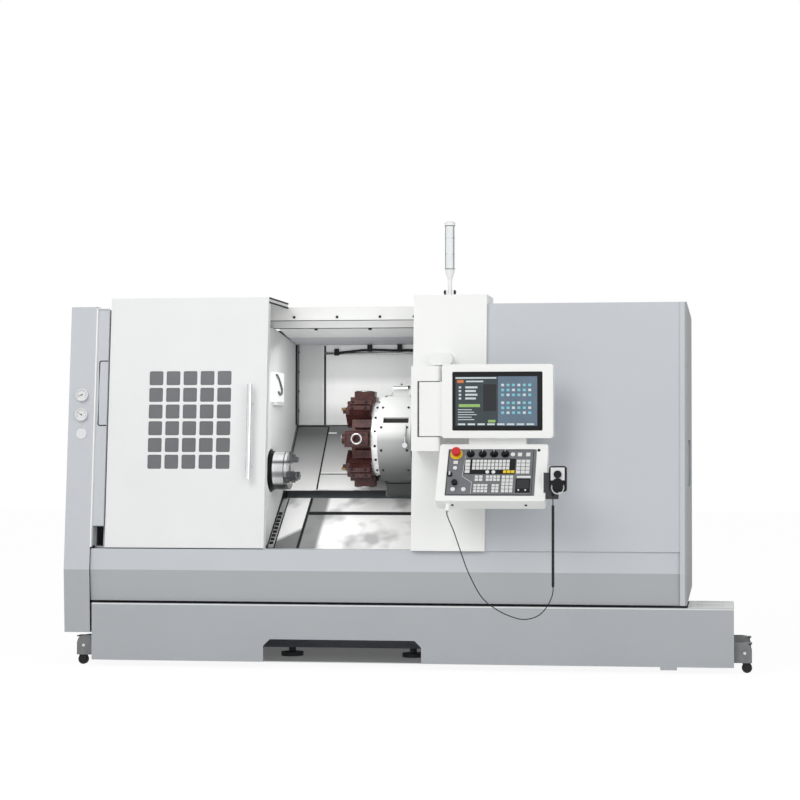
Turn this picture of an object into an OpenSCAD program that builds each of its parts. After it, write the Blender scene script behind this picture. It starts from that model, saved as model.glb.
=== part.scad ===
// Slant-bed CNC turning lathe with a sliding guard door, tool turret, tailstock and control pendant.
// +X runs from the spindle to the tailstock, +Y to the back, +Z up. The origin is on the floor
// under the middle of the machine. Modules are drawn from a datum at the left end (x = 0) and from
// the door's lower front edge (y = 0); in_frame() moves them to the origin.

/* [Enclosure] */
// Right end of the casing, from the datum
case_l = 3726; // [3600:1:4200]
// Depth from the door's lower edge to the rear cover
case_d = 1750; // [1700:1:2000]
// Height of the right casing
case_h = 2178; // [2150:1:2300]
// Height of the left end cover
left_h = 2177; // [2100:1:2300]
// Left face of the left end cover, from the datum
left_x = -25; // [-60:1:0]
// Width of the left end cover on the front
left_w = 159; // [100:1:200]
// Lowest edge of the left end cover
left_low = 199; // [150:1:300]
// Height of the ledge that the door runs on
ledge_z = 705; // [690:1:720]
// Height of the fold across the front
knee_z = 579; // [520:1:620]
// Lowest edge of the apron
apron_z = 393; // [388:1:440]
// Angle by which the front leans back
lean = 5; // [0:0.5:8]
// Sheet thickness of the enclosure
skin = 5; // [3:1:8]

/* [Door] */
// Left edge of the door when it is open
door_x = 218; // [200:1:260]
// Width of the door
door_w = 982; // [900:1:1000]
// Height of the door's top edge
door_h = 2229; // [2180:1:2260]
// Depth of the door pan
door_t = 60; // [40:1:80]
// Depth of the door's roof, from the front to the rail
door_roof_d = 556; // [500:1:600]
// Columns of window cells
win_cols = 5; // [3:1:5]
// Rows of window cells
win_rows = 6; // [3:1:7]
// Side of a window cell
win_cell = 86; // [60:1:90]
// Distance between columns of window cells, centre to centre
win_pitch_x = 106; // [96:1:108]
// Distance between rows of window cells, centre to centre
win_pitch_z = 102; // [96:1:108]
// Length of the door handle
handle_l = 574; // [300:1:700]
// Diameter of the door handle
handle_d = 32; // [20:1:40]

/* [Spindle] */
// Height of the spindle axis
axis_z = 1172; // [1165:1:1190]
// Radius of the spindle in its bearings
spindle_r = 100; // [80:1:105]
// Radius of the bore through spindle and chuck
bore_r = 38; // [25:1:45]
// Diameter of the chuck
chuck_d = 245; // [220:1:260]
// Length of the chuck
chuck_l = 136; // [120:1:160]
// Stroke of a chuck jaw
jaw_stroke = 9; // [4:0.5:12]

/* [Slant bed] */
// Angle of the bed
slant = 45; // [45]
// Distance from the spindle axis to the way covers, square to them
swing_r = 344; // [335:1:360]
// Distance from the way covers down to the bed
way_depth = 170; // [150:1:200]

/* [Turret] */
// Distance of the turret axis from the spindle axis, along the slant
turret_u = 280; // [262:1:290]
// Left face of the tool holders
turret_x = 1570; // [1550:1:1620]
// Number of tool stations
stations = 8; // [6:1:8]
// Radius over the tool holders
turret_r = 301; // [280:1:310]
// Radius of the turret body
drum_r = 276; // [240:1:280]

/* [Pendant] */
// Width of the operation panel
panel_w = 632; // [620:1:660]
// Length of the operation panel's face, from front to back
panel_l = 396; // [380:1:410]
// Angle of the operation panel's face from level
panel_tilt = 55; // [50:1:60]
// Width of the monitor housing
monitor_w = 647; // [600:1:680]
// Height of the monitor housing
monitor_h = 429; // [400:1:450]
// Width of the bezel
bezel_w = 527; // [500:1:560]
// Height of the bezel
bezel_h = 343; // [320:1:360]
// Depth of the monitor housing
monitor_t = 85; // [60:1:100]

/* [Coolant tank] */
// Length of the tank
tank_l = 3850; // [3700:1:4000]
// Left end of the tank
tank_x = 147; // [140:1:170]
// Depth of the tank from front to back
tank_d = 580; // [500:1:600]
// Height of the tank's rim
tank_h = 380; // [330:1:385]
// Height of the tank's lowest edge above the floor
tank_low = 36; // [20:1:60]
// Radius of a caster wheel
wheel_r = 30; // [25:1:32]

/* [Hidden] */

$fn = 64;
// Gap between sliding faces
run_gap = 0.3;
// Radial clearance of a shaft in its bore
shaft_gap = 0.05;
// Overlap of a cut past the face it opens
cut = 1;
// Feet of the bed
foot_h = 60;
// Right edge of the left end cover
left_end = left_x + left_w;
// Thickness of the right end cover
end_t = 40;

// Planes of the front
tan_lean = tan(lean);
column_y = -38;
apron_y = -20;
apron_ledge = 128;
column_tuck = 22;
apron_tuck = 18;
casing_y = -30;
cover_fold = 40;
control_y = -45;
function lean_y(y0, z) = y0 + (z - knee_z) * tan_lean;

// Chamber
wall_x = 1100;
wall_t = 15;
chamber_x = wall_x + wall_t;
control_x = 2100;
control_w = 440;
control_rise = 54;
control_h = case_h + control_rise;
control_d = 430;
lamp_x = 2297;
lamp_y = 240;
pole_h = 109;
cone_h = 45;
lens_r = 30;
casing_x = control_x + control_w;
rail_y = 690;
rail_drop = 106;
rail_z = case_h - rail_drop;
roof_drop = 75;
rail_h = 45;
header_h = 88;
header_t = 70;

// Spindle axis, at its share of the depth, and its foot on the way covers
axis_share = 12 / 35;
axis_y = case_d * axis_share;
foot_y = axis_y + swing_r * sin(slant);
foot_z = axis_z - swing_r * cos(slant);
cover_lo = 163;
back_room = 370;
back_y = case_d - back_room;
cover_hi = (back_y - foot_y) / cos(slant) - 10;
cover_t = 3;
chute_lo_y = 480;
chute_z = 690;
chute_t = 5;

// Door window, from the machine's left end and from the ledge
win_x = 470;
win_z = 484;
door_roof_t = 30;

// Carriage, in slant coordinates
rail_w = 45;
rail_in = 169;
rail_u = [200, cover_hi - rail_in];
guide_h = 30;
block_h = 60;
block_side = 60;
block_low = 6;
saddle_x = 1770;
saddle_l = 480;
neck_x = 1786;
neck_l = 300;
fixed_cover_l = 460;
mid_cover_l = 365;
mid_in = 15;
slide_cover_x = 1330;
base_u = 110;
base_l = rail_u[1] - rail_u[0] + 30;
base_h = 110;
holder_l = 187;
disc_x = turret_x + holder_l;
disc_t = 45;
disc_r = 235;
hub_r = 150;
drum_x = disc_x + disc_t + run_gap;
drum_l = 210;
turret_y = axis_y + turret_u * cos(slant);
turret_z = axis_z + turret_u * sin(slant);

// Tailstock
tail_l = 420;
tail_room = 361;
tail_x = case_l - end_t - tail_room - tail_l;
quill_r = 55;
quill_out = 115;
quill_x = tail_x - quill_out;

// Bed, in front of the cabinet
cabinet_x = 2690;
cabinet_d = 240;
bed_y = 640;
bed_back = case_d - cabinet_d - 5;
bed_right = case_l - 90;

// Drive
deck_z = 820;
headstock_x = 345;
headstock_l = 715;
pulley_x = 225;
pulley_l = 70;
spindle_pulley_r = 150;
motor_in = 220;
motor_y = bed_back - motor_in;
motor_z = 1020;
motor_r = 165;
motor_pulley_r = 100;
motor_shaft_r = 24;
belt_t = 8;
belt_gap = 0.4;
chuck_x = 1098;
jaw_w = 44;
jaw_depth = 20;
jaw_h = 52;
jaw_seat = 8;
jaw_over = 5;

// Pendant
hinge_x = 2275;
hinge_y = -190;
hinge_r = 12;
knuckle_r = 22;
bracket_z = 1296;
bracket_h = 497;
bracket_x = 2128;
spine_w = 42;
arm_z = 1383;
arm_h = 316;
arm_gap = 6;
monitor_x = 2316;
monitor_z = 1371;
monitor_y = -250;
panel_x = 2300;
panel_y = -430;
panel_z = 1011;
panel_t = 80;
arm_t = 70;
key_x = 52;
key_y = 36;
key_w = 516;
key_l = 324;
key_deep = 6;

// Hand-pulse unit
mpg_x = 2957;
mpg_w = 99;
mpg_y = -452;
mpg_t = 56;
mpg_z = 1064;
mpg_h = 147;
mpg_hub_z = 46;
mpg_wheel_r = 32;
mpg_wheel_t = 14;
mpg_grip_l = 10;

// Tank
tank_y = -25;
tank_floor = 180;
tank_wall = 4;
notch_x = 1205;
notch_w = 955;
notch_top = 171;
notch_cut = 40;
caster_out = 75;
caster_reach = 105;
wheel_w = 24;
axle_r = 6;
wheel_gap = 0.5;

x_min = left_x;
x_max = tank_x + tank_l + caster_reach;
y_min = mpg_y - run_gap - mpg_wheel_t - mpg_grip_l;
y_max = case_d + 50;
mid_x = (x_min + x_max) / 2;
mid_y = (y_min + y_max) / 2;

// Points of the hand-pulse unit's lead, from the coil's end to the gland under the panel
lead_d = 6;
coil_d = 18;
coil_top = [2977, -424, 990];
coil_low = [2977, -424, 520];
lead_top = [2977, -424, 1042];
lead_route = [
    [2977, -424, 520], [2977, -424, 500], [2969, -424, 465], [2947, -424, 420], [2912, -424, 375],
    [2866, -424, 348], [2811, -424, 338], [2757, -424, 347], [2690, -424, 373],
    [2636, -424, 404], [2598, -424, 432], [2560, -424, 474], [2522, -424, 540],
    [2484, -424, 620], [2455, -424, 700], [2431, -424, 770], [2407, -426, 840],
    [2387, -436, 890], [2373, -440, 925], [2369, -432, 938], [2369, -423, 951],
];

// Colours
white = "#f2f4f5";
grey = "#b4b8bd";
dark_grey = "#777b80";
steel = "#c4c8cc";
iron = "#8d9296";
black = "#1c1e20";
brown = "#5a2f2b";

module in_frame() {
    translate([-mid_x, -mid_y, 0]) children();
}

// Box from one corner to the opposite one
module slab(p, q) {
    translate(p) cube(q - p);
}

// Round bar along X
module x_rod(x0, x1, r, y, z) {
    translate([x0, y, z]) rotate([0, 90, 0]) cylinder(h = x1 - x0, r = r);
}

// Round bar along Y
module y_rod(x, y0, y1, r, z) {
    translate([x, y0, z]) rotate([-90, 0, 0]) cylinder(h = y1 - y0, r = r);
}

// A profile in Y and Z drawn out along X
module along_x(x0, x1) {
    translate([x0, 0, 0]) rotate([90, 0, 90]) linear_extrude(x1 - x0) children();
}

// Rectangle with round corners
module round_rect(w, h, r) {
    translate([r, 0]) square([w - 2 * r, h]);
    translate([0, r]) square([w, h - 2 * r]);
    for (x = [r, w - r], y = [r, h - r]) translate([x, y]) circle(r);
}

// Frame of the leaning front: x, depth, height along the slope from the ledge
module leaning(y0) {
    translate([0, y0, ledge_z]) rotate([-lean, 0, 0]) children();
}

// Frame of the slant bed: x, distance up the slope, height above the way covers
module on_slant() {
    translate([0, foot_y, foot_z]) rotate([slant, 0, 0]) children();
}

// Frame of the operation panel's face: x, distance up the face, height above it
module on_panel() {
    translate([panel_x, panel_y, panel_z]) rotate([panel_tilt, 0, 0]) children();
}

// Outline of an end cover from the side, drawn in by d
function end_outline(d, low, top) = [
    [column_y + column_tuck + d, low + d], [column_y + d, knee_z], [lean_y(column_y, top) + d, top - d],
    [case_d - d, top - d], [case_d - d, low + d],
];

module bed() {
    top_u = cover_hi - 30;
    lip_y = 130;
    lip_z = 180;
    low_u = 90;
    deck_half = 290;
    top_y = foot_y + top_u * cos(slant) + way_depth * sin(slant);
    top_z = foot_z + top_u * sin(slant) - way_depth * cos(slant);
    low_y = foot_y + low_u * cos(slant) + way_depth * sin(slant);
    low_z = foot_z + low_u * sin(slant) - way_depth * cos(slant);
    color(iron) in_frame() {
        along_x(wall_x, bed_right) polygon([
            [bed_y, foot_h], [bed_back, foot_h], [bed_back, top_z], [top_y, top_z],
            [low_y, low_z], [low_y - lip_y, low_z - lip_z], [bed_y, low_z - 2 * lip_y],
        ]);
        along_x(headstock_x - 15, wall_x) polygon([
            [bed_y, foot_h], [bed_back, foot_h], [bed_back, deck_z], [axis_y - deck_half, deck_z],
            [axis_y - deck_half, deck_z - lip_z], [bed_y, apron_z + 30],
        ]);
        for (u = rail_u) on_slant()
            slab([chamber_x + 50, u, -way_depth - cut], [bed_right - 40, u + rail_w, guide_h - way_depth]);
    }
}

module levelling_feet() {
    pad_r = 70;
    pad_h = 25;
    stud_r = 22;
    first = headstock_x + 105;
    last = bed_right - 86;
    count = 5;
    color(dark_grey) in_frame()
        for (k = [0 : count - 1], y = [bed_y + 90, bed_back - 55])
            translate([first + k * (last - first) / (count - 1), y, 0]) {
                cylinder(h = pad_h, r = pad_r);
                cylinder(h = foot_h, r = stud_r);
            }
}

module headstock() {
    half = 270;
    top_z = axis_z + 250;
    color(iron) in_frame() difference() {
        union() {
            along_x(headstock_x, headstock_x + headstock_l) polygon([
                [axis_y - half, deck_z], [axis_y + half, deck_z], [axis_y + half, top_z - 90],
                [axis_y + half - 90, top_z], [axis_y - half + 90, top_z], [axis_y - half, top_z - 90],
            ]);
            x_rod(headstock_x - 20, headstock_x, spindle_r + 50, axis_y, axis_z);
        }
        x_rod(headstock_x - 30, chamber_x, spindle_r + shaft_gap, axis_y, axis_z);
    }
}

module spindle_motor() {
    body_x = headstock_x + 15;
    body_l = 480;
    foot_w = 130;
    color(dark_grey) in_frame() difference() {
        union() {
            x_rod(body_x, body_x + body_l, motor_r, motor_y, motor_z);
            slab([body_x, motor_y - motor_r, motor_z - motor_r],
                [body_x + 30, motor_y + motor_r, motor_z + motor_r]);
            slab([body_x + 60, motor_y - foot_w, deck_z],
                [body_x + body_l - 60, motor_y + foot_w, motor_z - motor_r / 2]);
        }
        x_rod(body_x - cut, body_x + 80, motor_shaft_r + shaft_gap, motor_y, motor_z);
    }
}

// Loop that runs round both pulleys
module belt_loop(grow) {
    hull() {
        translate([axis_y, axis_z]) circle(spindle_pulley_r + grow);
        translate([motor_y, motor_z]) circle(motor_pulley_r + grow);
    }
}

module drive_belt() {
    color(black) in_frame() along_x(pulley_x + 8, pulley_x + pulley_l - 8) difference() {
        belt_loop(belt_gap + belt_t);
        belt_loop(belt_gap);
    }
}

// The hole in line with the spindle lets bar stock in
module left_end_cover() {
    bar_gap = 20;
    color(grey) in_frame() difference() {
        along_x(left_x, left_end) polygon(end_outline(0, left_low, left_h));
        along_x(left_x + skin, left_end + cut) polygon(end_outline(skin, left_low, left_h));
        x_rod(left_x - cut, left_x + skin + cut, bore_r + bar_gap, axis_y, axis_z);
    }
}

module left_front_panel() {
    panel_back = 20;
    hatch_x = 165;
    hatch_z = 739;
    hatch_w = 190;
    hatch_h = 393;
    hatch_r = 30;
    groove = 8;
    groove_deep = 3;
    slot_w = 46;
    slot_z = [12, 130];
    panel_top = (left_h - ledge_z) / cos(lean) - panel_back;
    color(grey) in_frame() leaning(door_t + 15) difference() {
        slab([left_end, 0, 2], [wall_x, panel_back, panel_top]);
        translate([hatch_x, groove_deep, hatch_z]) rotate([90, 0, 0])
            linear_extrude(groove_deep + cut) difference() {
                round_rect(hatch_w, hatch_h, hatch_r);
                translate([groove, groove])
                    round_rect(hatch_w - 2 * groove, hatch_h - 2 * groove, hatch_r - groove);
            }
        slab([left_end + 6, -cut, slot_z[0]], [left_end + 6 + slot_w, panel_back + cut, slot_z[1]]);
    }
}

// One pressure gauge standing out of the leaning front
module gauge(r, depth) {
    rotate([90, 0, 0]) {
        cylinder(h = depth, r = r);
        translate([0, 0, depth]) difference() {
            cylinder(h = 6, r = r);
            translate([0, 0, 2]) cylinder(h = 6, r = r - 5);
        }
    }
}

module pressure_gauges() {
    gauge_x = left_x + 86;
    gauge_r = 38;
    plug_r = 32;
    gauge_h = [1635, 1515];
    plug_h = 1400;
    color(steel) in_frame() translate([gauge_x, lean_y(column_y, 0), 0]) {
        for (z = gauge_h) translate([0, z * tan_lean, z]) rotate([-lean, 0, 0]) gauge(gauge_r, 18);
        translate([0, plug_h * tan_lean, plug_h]) rotate([-lean, 0, 0]) rotate([90, 0, 0])
            cylinder(h = 6, r = plug_r);
    }
}

module lower_apron() {
    front_y = lean_y(apron_y, ledge_z);
    color(grey) in_frame() along_x(left_end, case_l - end_t) polygon([
        [apron_ledge, ledge_z], [front_y, ledge_z], [apron_y, knee_z], [apron_y + apron_tuck, apron_z],
        [apron_y + apron_tuck + skin, apron_z], [apron_y + skin, knee_z],
        [front_y + skin, ledge_z - skin], [apron_ledge, ledge_z - skin],
    ]);
}

module chamber_left_wall() {
    hole_r = chuck_d / 2 + 14;
    box_y = 650;
    box_z = 1585;
    color(white) in_frame() {
        difference() {
            along_x(wall_x, chamber_x) polygon([
                [140, chute_z + 20], [chute_lo_y, chute_z + 20], [foot_y + 60, foot_z + 60],
                [back_y, back_y + foot_z - foot_y], [back_y, rail_z - roof_drop],
                [rail_y, rail_z - 3], [220, rail_z - 3],
            ]);
            x_rod(wall_x - cut, chamber_x + cut, hole_r, axis_y, axis_z);
        }
        slab([chamber_x, box_y, box_z], [chamber_x + 22, box_y + 230, box_z + 205]);
    }
}

module chamber_back_wall() {
    color(steel) in_frame()
        slab([chamber_x, back_y, back_y + foot_z - foot_y], [casing_x, back_y + skin, rail_z - roof_drop]);
}

module chip_chute() {
    lip_y = apron_ledge;
    top_y = foot_y + (cover_lo - 20) * cos(slant);
    top_z = foot_z + (cover_lo - 20) * sin(slant) - 40;
    color(steel) in_frame() along_x(chamber_x, casing_x) polygon([
        [lip_y, ledge_z], [lip_y + chute_t, ledge_z], [lip_y + chute_t, chute_z],
        [chute_lo_y, chute_z], [top_y, top_z],
        [top_y, top_z - 2 * chute_t], [chute_lo_y, chute_z - chute_t], [lip_y, chute_z - chute_t],
    ]);
}

// One sheet of the way covers, at layer n below the top one
module cover_sheet(x0, l, n) {
    top = -n * (cover_t + run_gap);
    on_slant() slab([x0, cover_lo, top - cover_t], [x0 + l, cover_hi, top]);
}

module way_cover_fixed() {
    color(steel) in_frame() cover_sheet(chamber_x, fixed_cover_l, 2);
}

module way_cover_mid() {
    color(steel) in_frame() cover_sheet(slide_cover_x - mid_in, mid_cover_l, 1);
}

module way_cover_sliding() {
    color(steel) in_frame() cover_sheet(slide_cover_x, neck_x - slide_cover_x, 0);
}

module roof_panels() {
    left_top = left_h - 35;
    hem_y = rail_y + 42;
    hem_z = rail_z + 20;
    low_z = rail_z - roof_drop;
    front_y = lean_y(casing_y, case_h) + cover_fold + cut;
    color(grey) in_frame() {
        slab([left_end, rail_y + header_t + 10, left_top - skin], [chamber_x, case_d - skin, left_top]);
        along_x(chamber_x, casing_x) polygon([
            [hem_y, hem_z], [hem_y, hem_z - skin], [back_y, low_z], [case_d - skin, low_z],
            [case_d - skin, low_z + skin], [back_y, low_z + skin],
        ]);
        slab([casing_x + cut, front_y, case_h - skin], [case_l - end_t, case_d - skin, case_h]);
    }
}

module door_rail() {
    lip = 40;
    color(white) in_frame() along_x(left_end, control_x) {
        translate([rail_y + 4, rail_z + rail_h]) square([header_t, header_h]);
        translate([rail_y, rail_z]) square([lip, rail_h]);
    }
}

// Front plane of the control column
function control_front(z) = control_y + (z - ledge_z) * tan_lean;

// Outline of the control column from the side, drawn in by d
function control_outline(d, low, back) = [
    [control_front(low) + d, low], [control_front(control_h) + d, control_h - d],
    [back - d, control_h - d], [back - d, low],
];

module control_column() {
    color(white) in_frame() difference() {
        along_x(control_x, control_x + control_w) polygon(control_outline(0, ledge_z, control_d));
        along_x(control_x + skin, control_x + control_w - skin)
            polygon(control_outline(skin, ledge_z - cut, control_d + cut + skin));
    }
}

module right_front_cover() {
    t = cover_fold;
    low_y = lean_y(casing_y, ledge_z);
    top_y = lean_y(casing_y, case_h);
    color(grey) in_frame() difference() {
        along_x(casing_x, case_l - end_t)
            polygon([[low_y, ledge_z], [top_y, case_h], [top_y + t, case_h], [low_y + t, ledge_z]]);
        along_x(casing_x + skin, case_l - end_t - skin) polygon([
            [low_y + skin, ledge_z - cut], [top_y + skin, case_h - skin],
            [top_y + t + cut, case_h - skin], [low_y + t + cut, ledge_z - cut],
        ]);
    }
}

// The shallow tray in the outer face is a hand recess for the side panel
module right_end_cover() {
    tray_y = 420;
    tray_w = 810;
    tray_z = 1075;
    tray_h = 287;
    tray_d = 25;
    color(grey) in_frame() difference() {
        union() {
            difference() {
                along_x(case_l - end_t, case_l) polygon(end_outline(0, apron_z, case_h));
                along_x(case_l - end_t - cut, case_l - skin) polygon(end_outline(skin, apron_z, case_h));
            }
            slab([case_l - tray_d - skin, tray_y - skin, tray_z - skin],
                [case_l - skin + cut, tray_y + tray_w + skin, tray_z + tray_h + skin]);
        }
        slab([case_l - tray_d, tray_y, tray_z], [case_l + cut, tray_y + tray_w, tray_z + tray_h]);
    }
}

module rear_cover() {
    top_gap = 60;
    color(grey) in_frame() {
        slab([left_end, case_d - skin, left_low], [chamber_x, case_d, left_h - top_gap]);
        slab([chamber_x, case_d - skin, apron_z], [cabinet_x, case_d, rail_z - roof_drop - skin]);
    }
}

// Cabinet on the back with two door leaves and rows of louvres
module electrical_cabinet() {
    low = 480;
    high = case_h - 118;
    back = y_max - 12;
    edge = 20;
    right = case_l - end_t;
    middle = (cabinet_x + right) / 2;
    louvre_w = 260;
    louvre_h = 12;
    louvre_pitch = 36;
    louvre_deep = 8;
    color(grey) in_frame() difference() {
        union() {
            slab([cabinet_x, case_d - cabinet_d, low], [right, back, high]);
            slab([cabinet_x + edge, back, low + edge], [middle - edge / 4, y_max, high - edge]);
            slab([middle + edge / 4, back, low + edge], [right - edge, y_max, high - edge]);
        }
        for (x = [(cabinet_x + middle) / 2, (middle + right) / 2], k = [0 : 5], z = [low + 140, high - 360])
            slab([x - louvre_w / 2, y_max - louvre_deep, z + k * louvre_pitch],
                [x + louvre_w / 2, y_max + cut, z + k * louvre_pitch + louvre_h]);
    }
}

module signal_pole() {
    plate = 70;
    plate_t = 8;
    color(white) in_frame() translate([lamp_x, lamp_y, control_h]) {
        translate([-plate / 2, -plate / 2, 0]) cube([plate, plate, plate_t]);
        cylinder(h = pole_h, r = 13);
        translate([0, 0, pole_h]) cylinder(h = cone_h, r1 = 16, r2 = lens_r);
    }
}

// Ribbed lens in three bands under a cap
module signal_lens() {
    lens_h = 292;
    bands = 3;
    neck = 6;
    band_h = lens_h / bands;
    color("#e8eef0") in_frame() translate([lamp_x, lamp_y, control_h + pole_h + cone_h]) {
        for (k = [0 : bands - 1]) translate([0, 0, k * band_h]) {
            cylinder(h = band_h, r = lens_r - 3);
            translate([0, 0, neck]) cylinder(h = band_h - neck, r = lens_r);
        }
        translate([0, 0, lens_h]) cylinder(h = 8, r1 = lens_r, r2 = lens_r - 6);
    }
}

// Block from a front plane back to the control column's leaning face
module bracket_block(x0, x1, front, z0, z1) {
    along_x(x0, x1)
        polygon([[front, z0], [control_front(z0), z0], [control_front(z1), z1], [front, z1]]);
}

// Fork that carries the pendant's hinge pin, with a round cable hood above it
module pendant_bracket() {
    front = hinge_y - knuckle_r;
    right = hinge_x + knuckle_r;
    top = bracket_z + bracket_h;
    hood_x = 2207;
    hood_w = 137;
    hood_h = 74;
    hood_r = 30;
    hood_out = 60;
    hood_z = monitor_z + monitor_h + arm_gap;
    hood_top = hood_z + hood_h + cut;
    color(white) in_frame() {
        difference() {
            union() {
                bracket_block(bracket_x, bracket_x + spine_w, front, bracket_z, top);
                bracket_block(bracket_x, right, front, bracket_z, arm_z - run_gap);
                bracket_block(bracket_x, right, front, arm_z + arm_h + run_gap, top);
            }
            translate([hinge_x, hinge_y, bracket_z - cut]) linear_extrude(bracket_h + 2 * cut) {
                circle(hinge_r + shaft_gap);
                difference() {
                    translate([0, -knuckle_r - cut]) square([knuckle_r + cut, knuckle_r + cut]);
                    circle(knuckle_r);
                }
            }
        }
        difference() {
            translate([hood_x, control_front(hood_z) + hood_out, hood_z]) rotate([90, 0, 0])
                linear_extrude(2 * hood_out) round_rect(hood_w, hood_h, hood_r);
            along_x(hood_x - cut, hood_x + hood_w + cut) polygon([
                [control_front(hood_z - cut), hood_z - cut], [control_d, hood_z - cut],
                [control_d, hood_top], [control_front(hood_top), hood_top],
            ]);
        }
    }
}

// Front plane of the door
function door_front(z) = (z - ledge_z) * tan_lean;

// Outline of the folded door from the side, drawn in by d
function door_outline(d, low, back, rear, roof) = [
    [door_front(low) + d, low], [door_front(door_h - d) + d, door_h - d], [rear, door_h - d],
    [rear, roof], [door_front(roof) + back, roof], [door_front(low) + back, low],
];

module door_panel() {
    low = ledge_z + run_gap;
    rear = door_front(door_h) + door_roof_d;
    roof = door_h - door_roof_t;
    color(white) in_frame() difference() {
        along_x(door_x, door_x + door_w) polygon(door_outline(0, low, door_t, rear, roof));
        along_x(door_x + skin, door_x + door_w - skin)
            polygon(door_outline(skin, low + skin, door_t + cut, rear - skin, roof - cut));
        leaning(0) for (i = [0 : win_cols - 1], j = [0 : win_rows - 1])
            translate([win_x + i * win_pitch_x, skin + 2 * cut, win_z + j * win_pitch_z])
                rotate([90, 0, 0]) linear_extrude(skin + 4 * cut) round_rect(win_cell, win_cell, 10);
    }
}

module door_window() {
    edge = 30;
    pane_t = 8;
    color("#8b8f94") in_frame() leaning(0)
        slab([win_x - edge, skin * cos(lean), win_z - edge],
            [win_x + win_cols * win_pitch_x + edge, skin + pane_t, win_z + win_rows * win_pitch_z + edge]);
}

module door_handle() {
    x = door_x + door_w - 92;
    low = 418;
    stand = 55;
    foot_in = 80;
    foot_out = 115;
    color(steel) in_frame() leaning(0) {
        translate([x, -stand, low]) cylinder(h = handle_l, d = handle_d);
        for (z = [low + foot_in, low + handle_l - foot_out]) y_rod(x, -stand, 0, handle_d / 2 - 4, z);
    }
}

module spindle() {
    color(steel) in_frame() difference() {
        union() {
            x_rod(pulley_x - 25, chuck_x - 22, spindle_r, axis_y, axis_z);
            x_rod(pulley_x, pulley_x + pulley_l, spindle_pulley_r, axis_y, axis_z);
            x_rod(headstock_x + headstock_l + 1, chuck_x, spindle_r + 16, axis_y, axis_z);
        }
        x_rod(pulley_x - 30, chuck_x + cut, bore_r, axis_y, axis_z);
    }
}

module chuck() {
    r = chuck_d / 2;
    ring = 40;
    front = chuck_x + chuck_l;
    color(steel) in_frame() difference() {
        union() {
            x_rod(chuck_x, chuck_x + ring, r, axis_y, axis_z);
            x_rod(chuck_x + ring, front, r - 3, axis_y, axis_z);
        }
        x_rod(chuck_x - cut, front + cut, bore_r, axis_y, axis_z);
        for (k = [0 : 2]) translate([0, axis_y, axis_z]) rotate([k * 120, 0, 0])
            slab([front - jaw_depth, -jaw_w / 2 - run_gap, bore_r + jaw_seat],
                [front + cut, jaw_w / 2 + run_gap, r + cut]);
    }
}

// Stepped chuck jaw at station k
module jaw(k) {
    inner = bore_r + jaw_seat + 4;
    outer = chuck_d / 2 + jaw_over - jaw_stroke;
    front = chuck_x + chuck_l;
    step = 34;
    rise = 17;
    color("#9ea2a6") in_frame() translate([0, axis_y, axis_z]) rotate([k * 120, 0, 0]) {
        slab([front - jaw_depth + run_gap, -jaw_w / 2, inner], [front + rise, jaw_w / 2, outer]);
        slab([front + rise, -jaw_w / 2 + 3, inner], [front + 2 * rise, jaw_w / 2 - 3, outer - step / 2]);
        slab([front + 2 * rise, -jaw_w / 2 + 3, inner], [front + jaw_h, jaw_w / 2 - 3, outer - step]);
    }
}

module jaw_1() { jaw(0); }
module jaw_2() { jaw(1); }
module jaw_3() { jaw(2); }

module motor_pulley() {
    color(steel) in_frame() {
        x_rod(pulley_x, pulley_x + pulley_l, motor_pulley_r, motor_y, motor_z);
        x_rod(pulley_x, headstock_x + 70, motor_shaft_r, motor_y, motor_z);
    }
}

module saddle() {
    u0 = rail_u[0] - block_side;
    u1 = rail_u[1] + rail_w + block_side;
    rail_top = guide_h - way_depth;
    color(iron) in_frame() on_slant() difference() {
        union() {
            slab([saddle_x, u0, run_gap - way_depth + block_low],
                [saddle_x + saddle_l, u1, rail_top + block_h]);
            slab([neck_x, u0, rail_top], [neck_x + neck_l, u1, -run_gap]);
        }
        for (u = rail_u)
            slab([saddle_x - cut, u - run_gap, -way_depth - cut],
                [saddle_x + saddle_l + cut, u + rail_w + run_gap, rail_top + run_gap]);
    }
}

// Slide, round housing and index motor of the turret, with the coolant valve on top and a cable slot in front
module turret_body() {
    motor_len = 170;
    motor_r = 120;
    slot_turn = 65;
    slot_in = 34;
    slot_l = 160;
    slot_h = 38;
    slot_deep = 25;
    valve_w = 110;
    valve_h = 40;
    cap_h = 22;
    cap_in = 34;
    color(white) in_frame() {
        on_slant() slab([drum_x, base_u, 0], [neck_x + neck_l - block_low, base_u + base_l, base_h]);
        difference() {
            x_rod(drum_x, drum_x + drum_l, drum_r, turret_y, turret_z);
            translate([drum_x + slot_in, turret_y, turret_z]) rotate([slot_turn, 0, 0])
                slab([0, -slot_h / 2, drum_r - slot_deep], [slot_l, slot_h / 2, drum_r + cut]);
        }
        x_rod(drum_x + drum_l, drum_x + drum_l + motor_len, motor_r, turret_y, turret_z);
        translate([drum_x + slot_in, turret_y, turret_z + drum_r]) {
            slab([0, -valve_w / 2, -cap_in], [slot_l, valve_w / 2, valve_h]);
            slab([cap_in, -valve_w / 2, valve_h], [slot_l - cap_in, valve_w / 2, valve_h + cap_h]);
        }
    }
}

// The hub has one flat for each station
module turret_disc() {
    hub_in = 60;
    color(steel) in_frame() translate([0, turret_y, turret_z]) {
        x_rod(disc_x, disc_x + disc_t, disc_r, 0, 0);
        rotate([slant + 180 / stations, 0, 0]) translate([turret_x + hub_in, 0, 0]) rotate([0, 90, 0])
            cylinder(h = disc_x - turret_x - hub_in, r = hub_r / cos(180 / stations), $fn = stations);
    }
}

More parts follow.
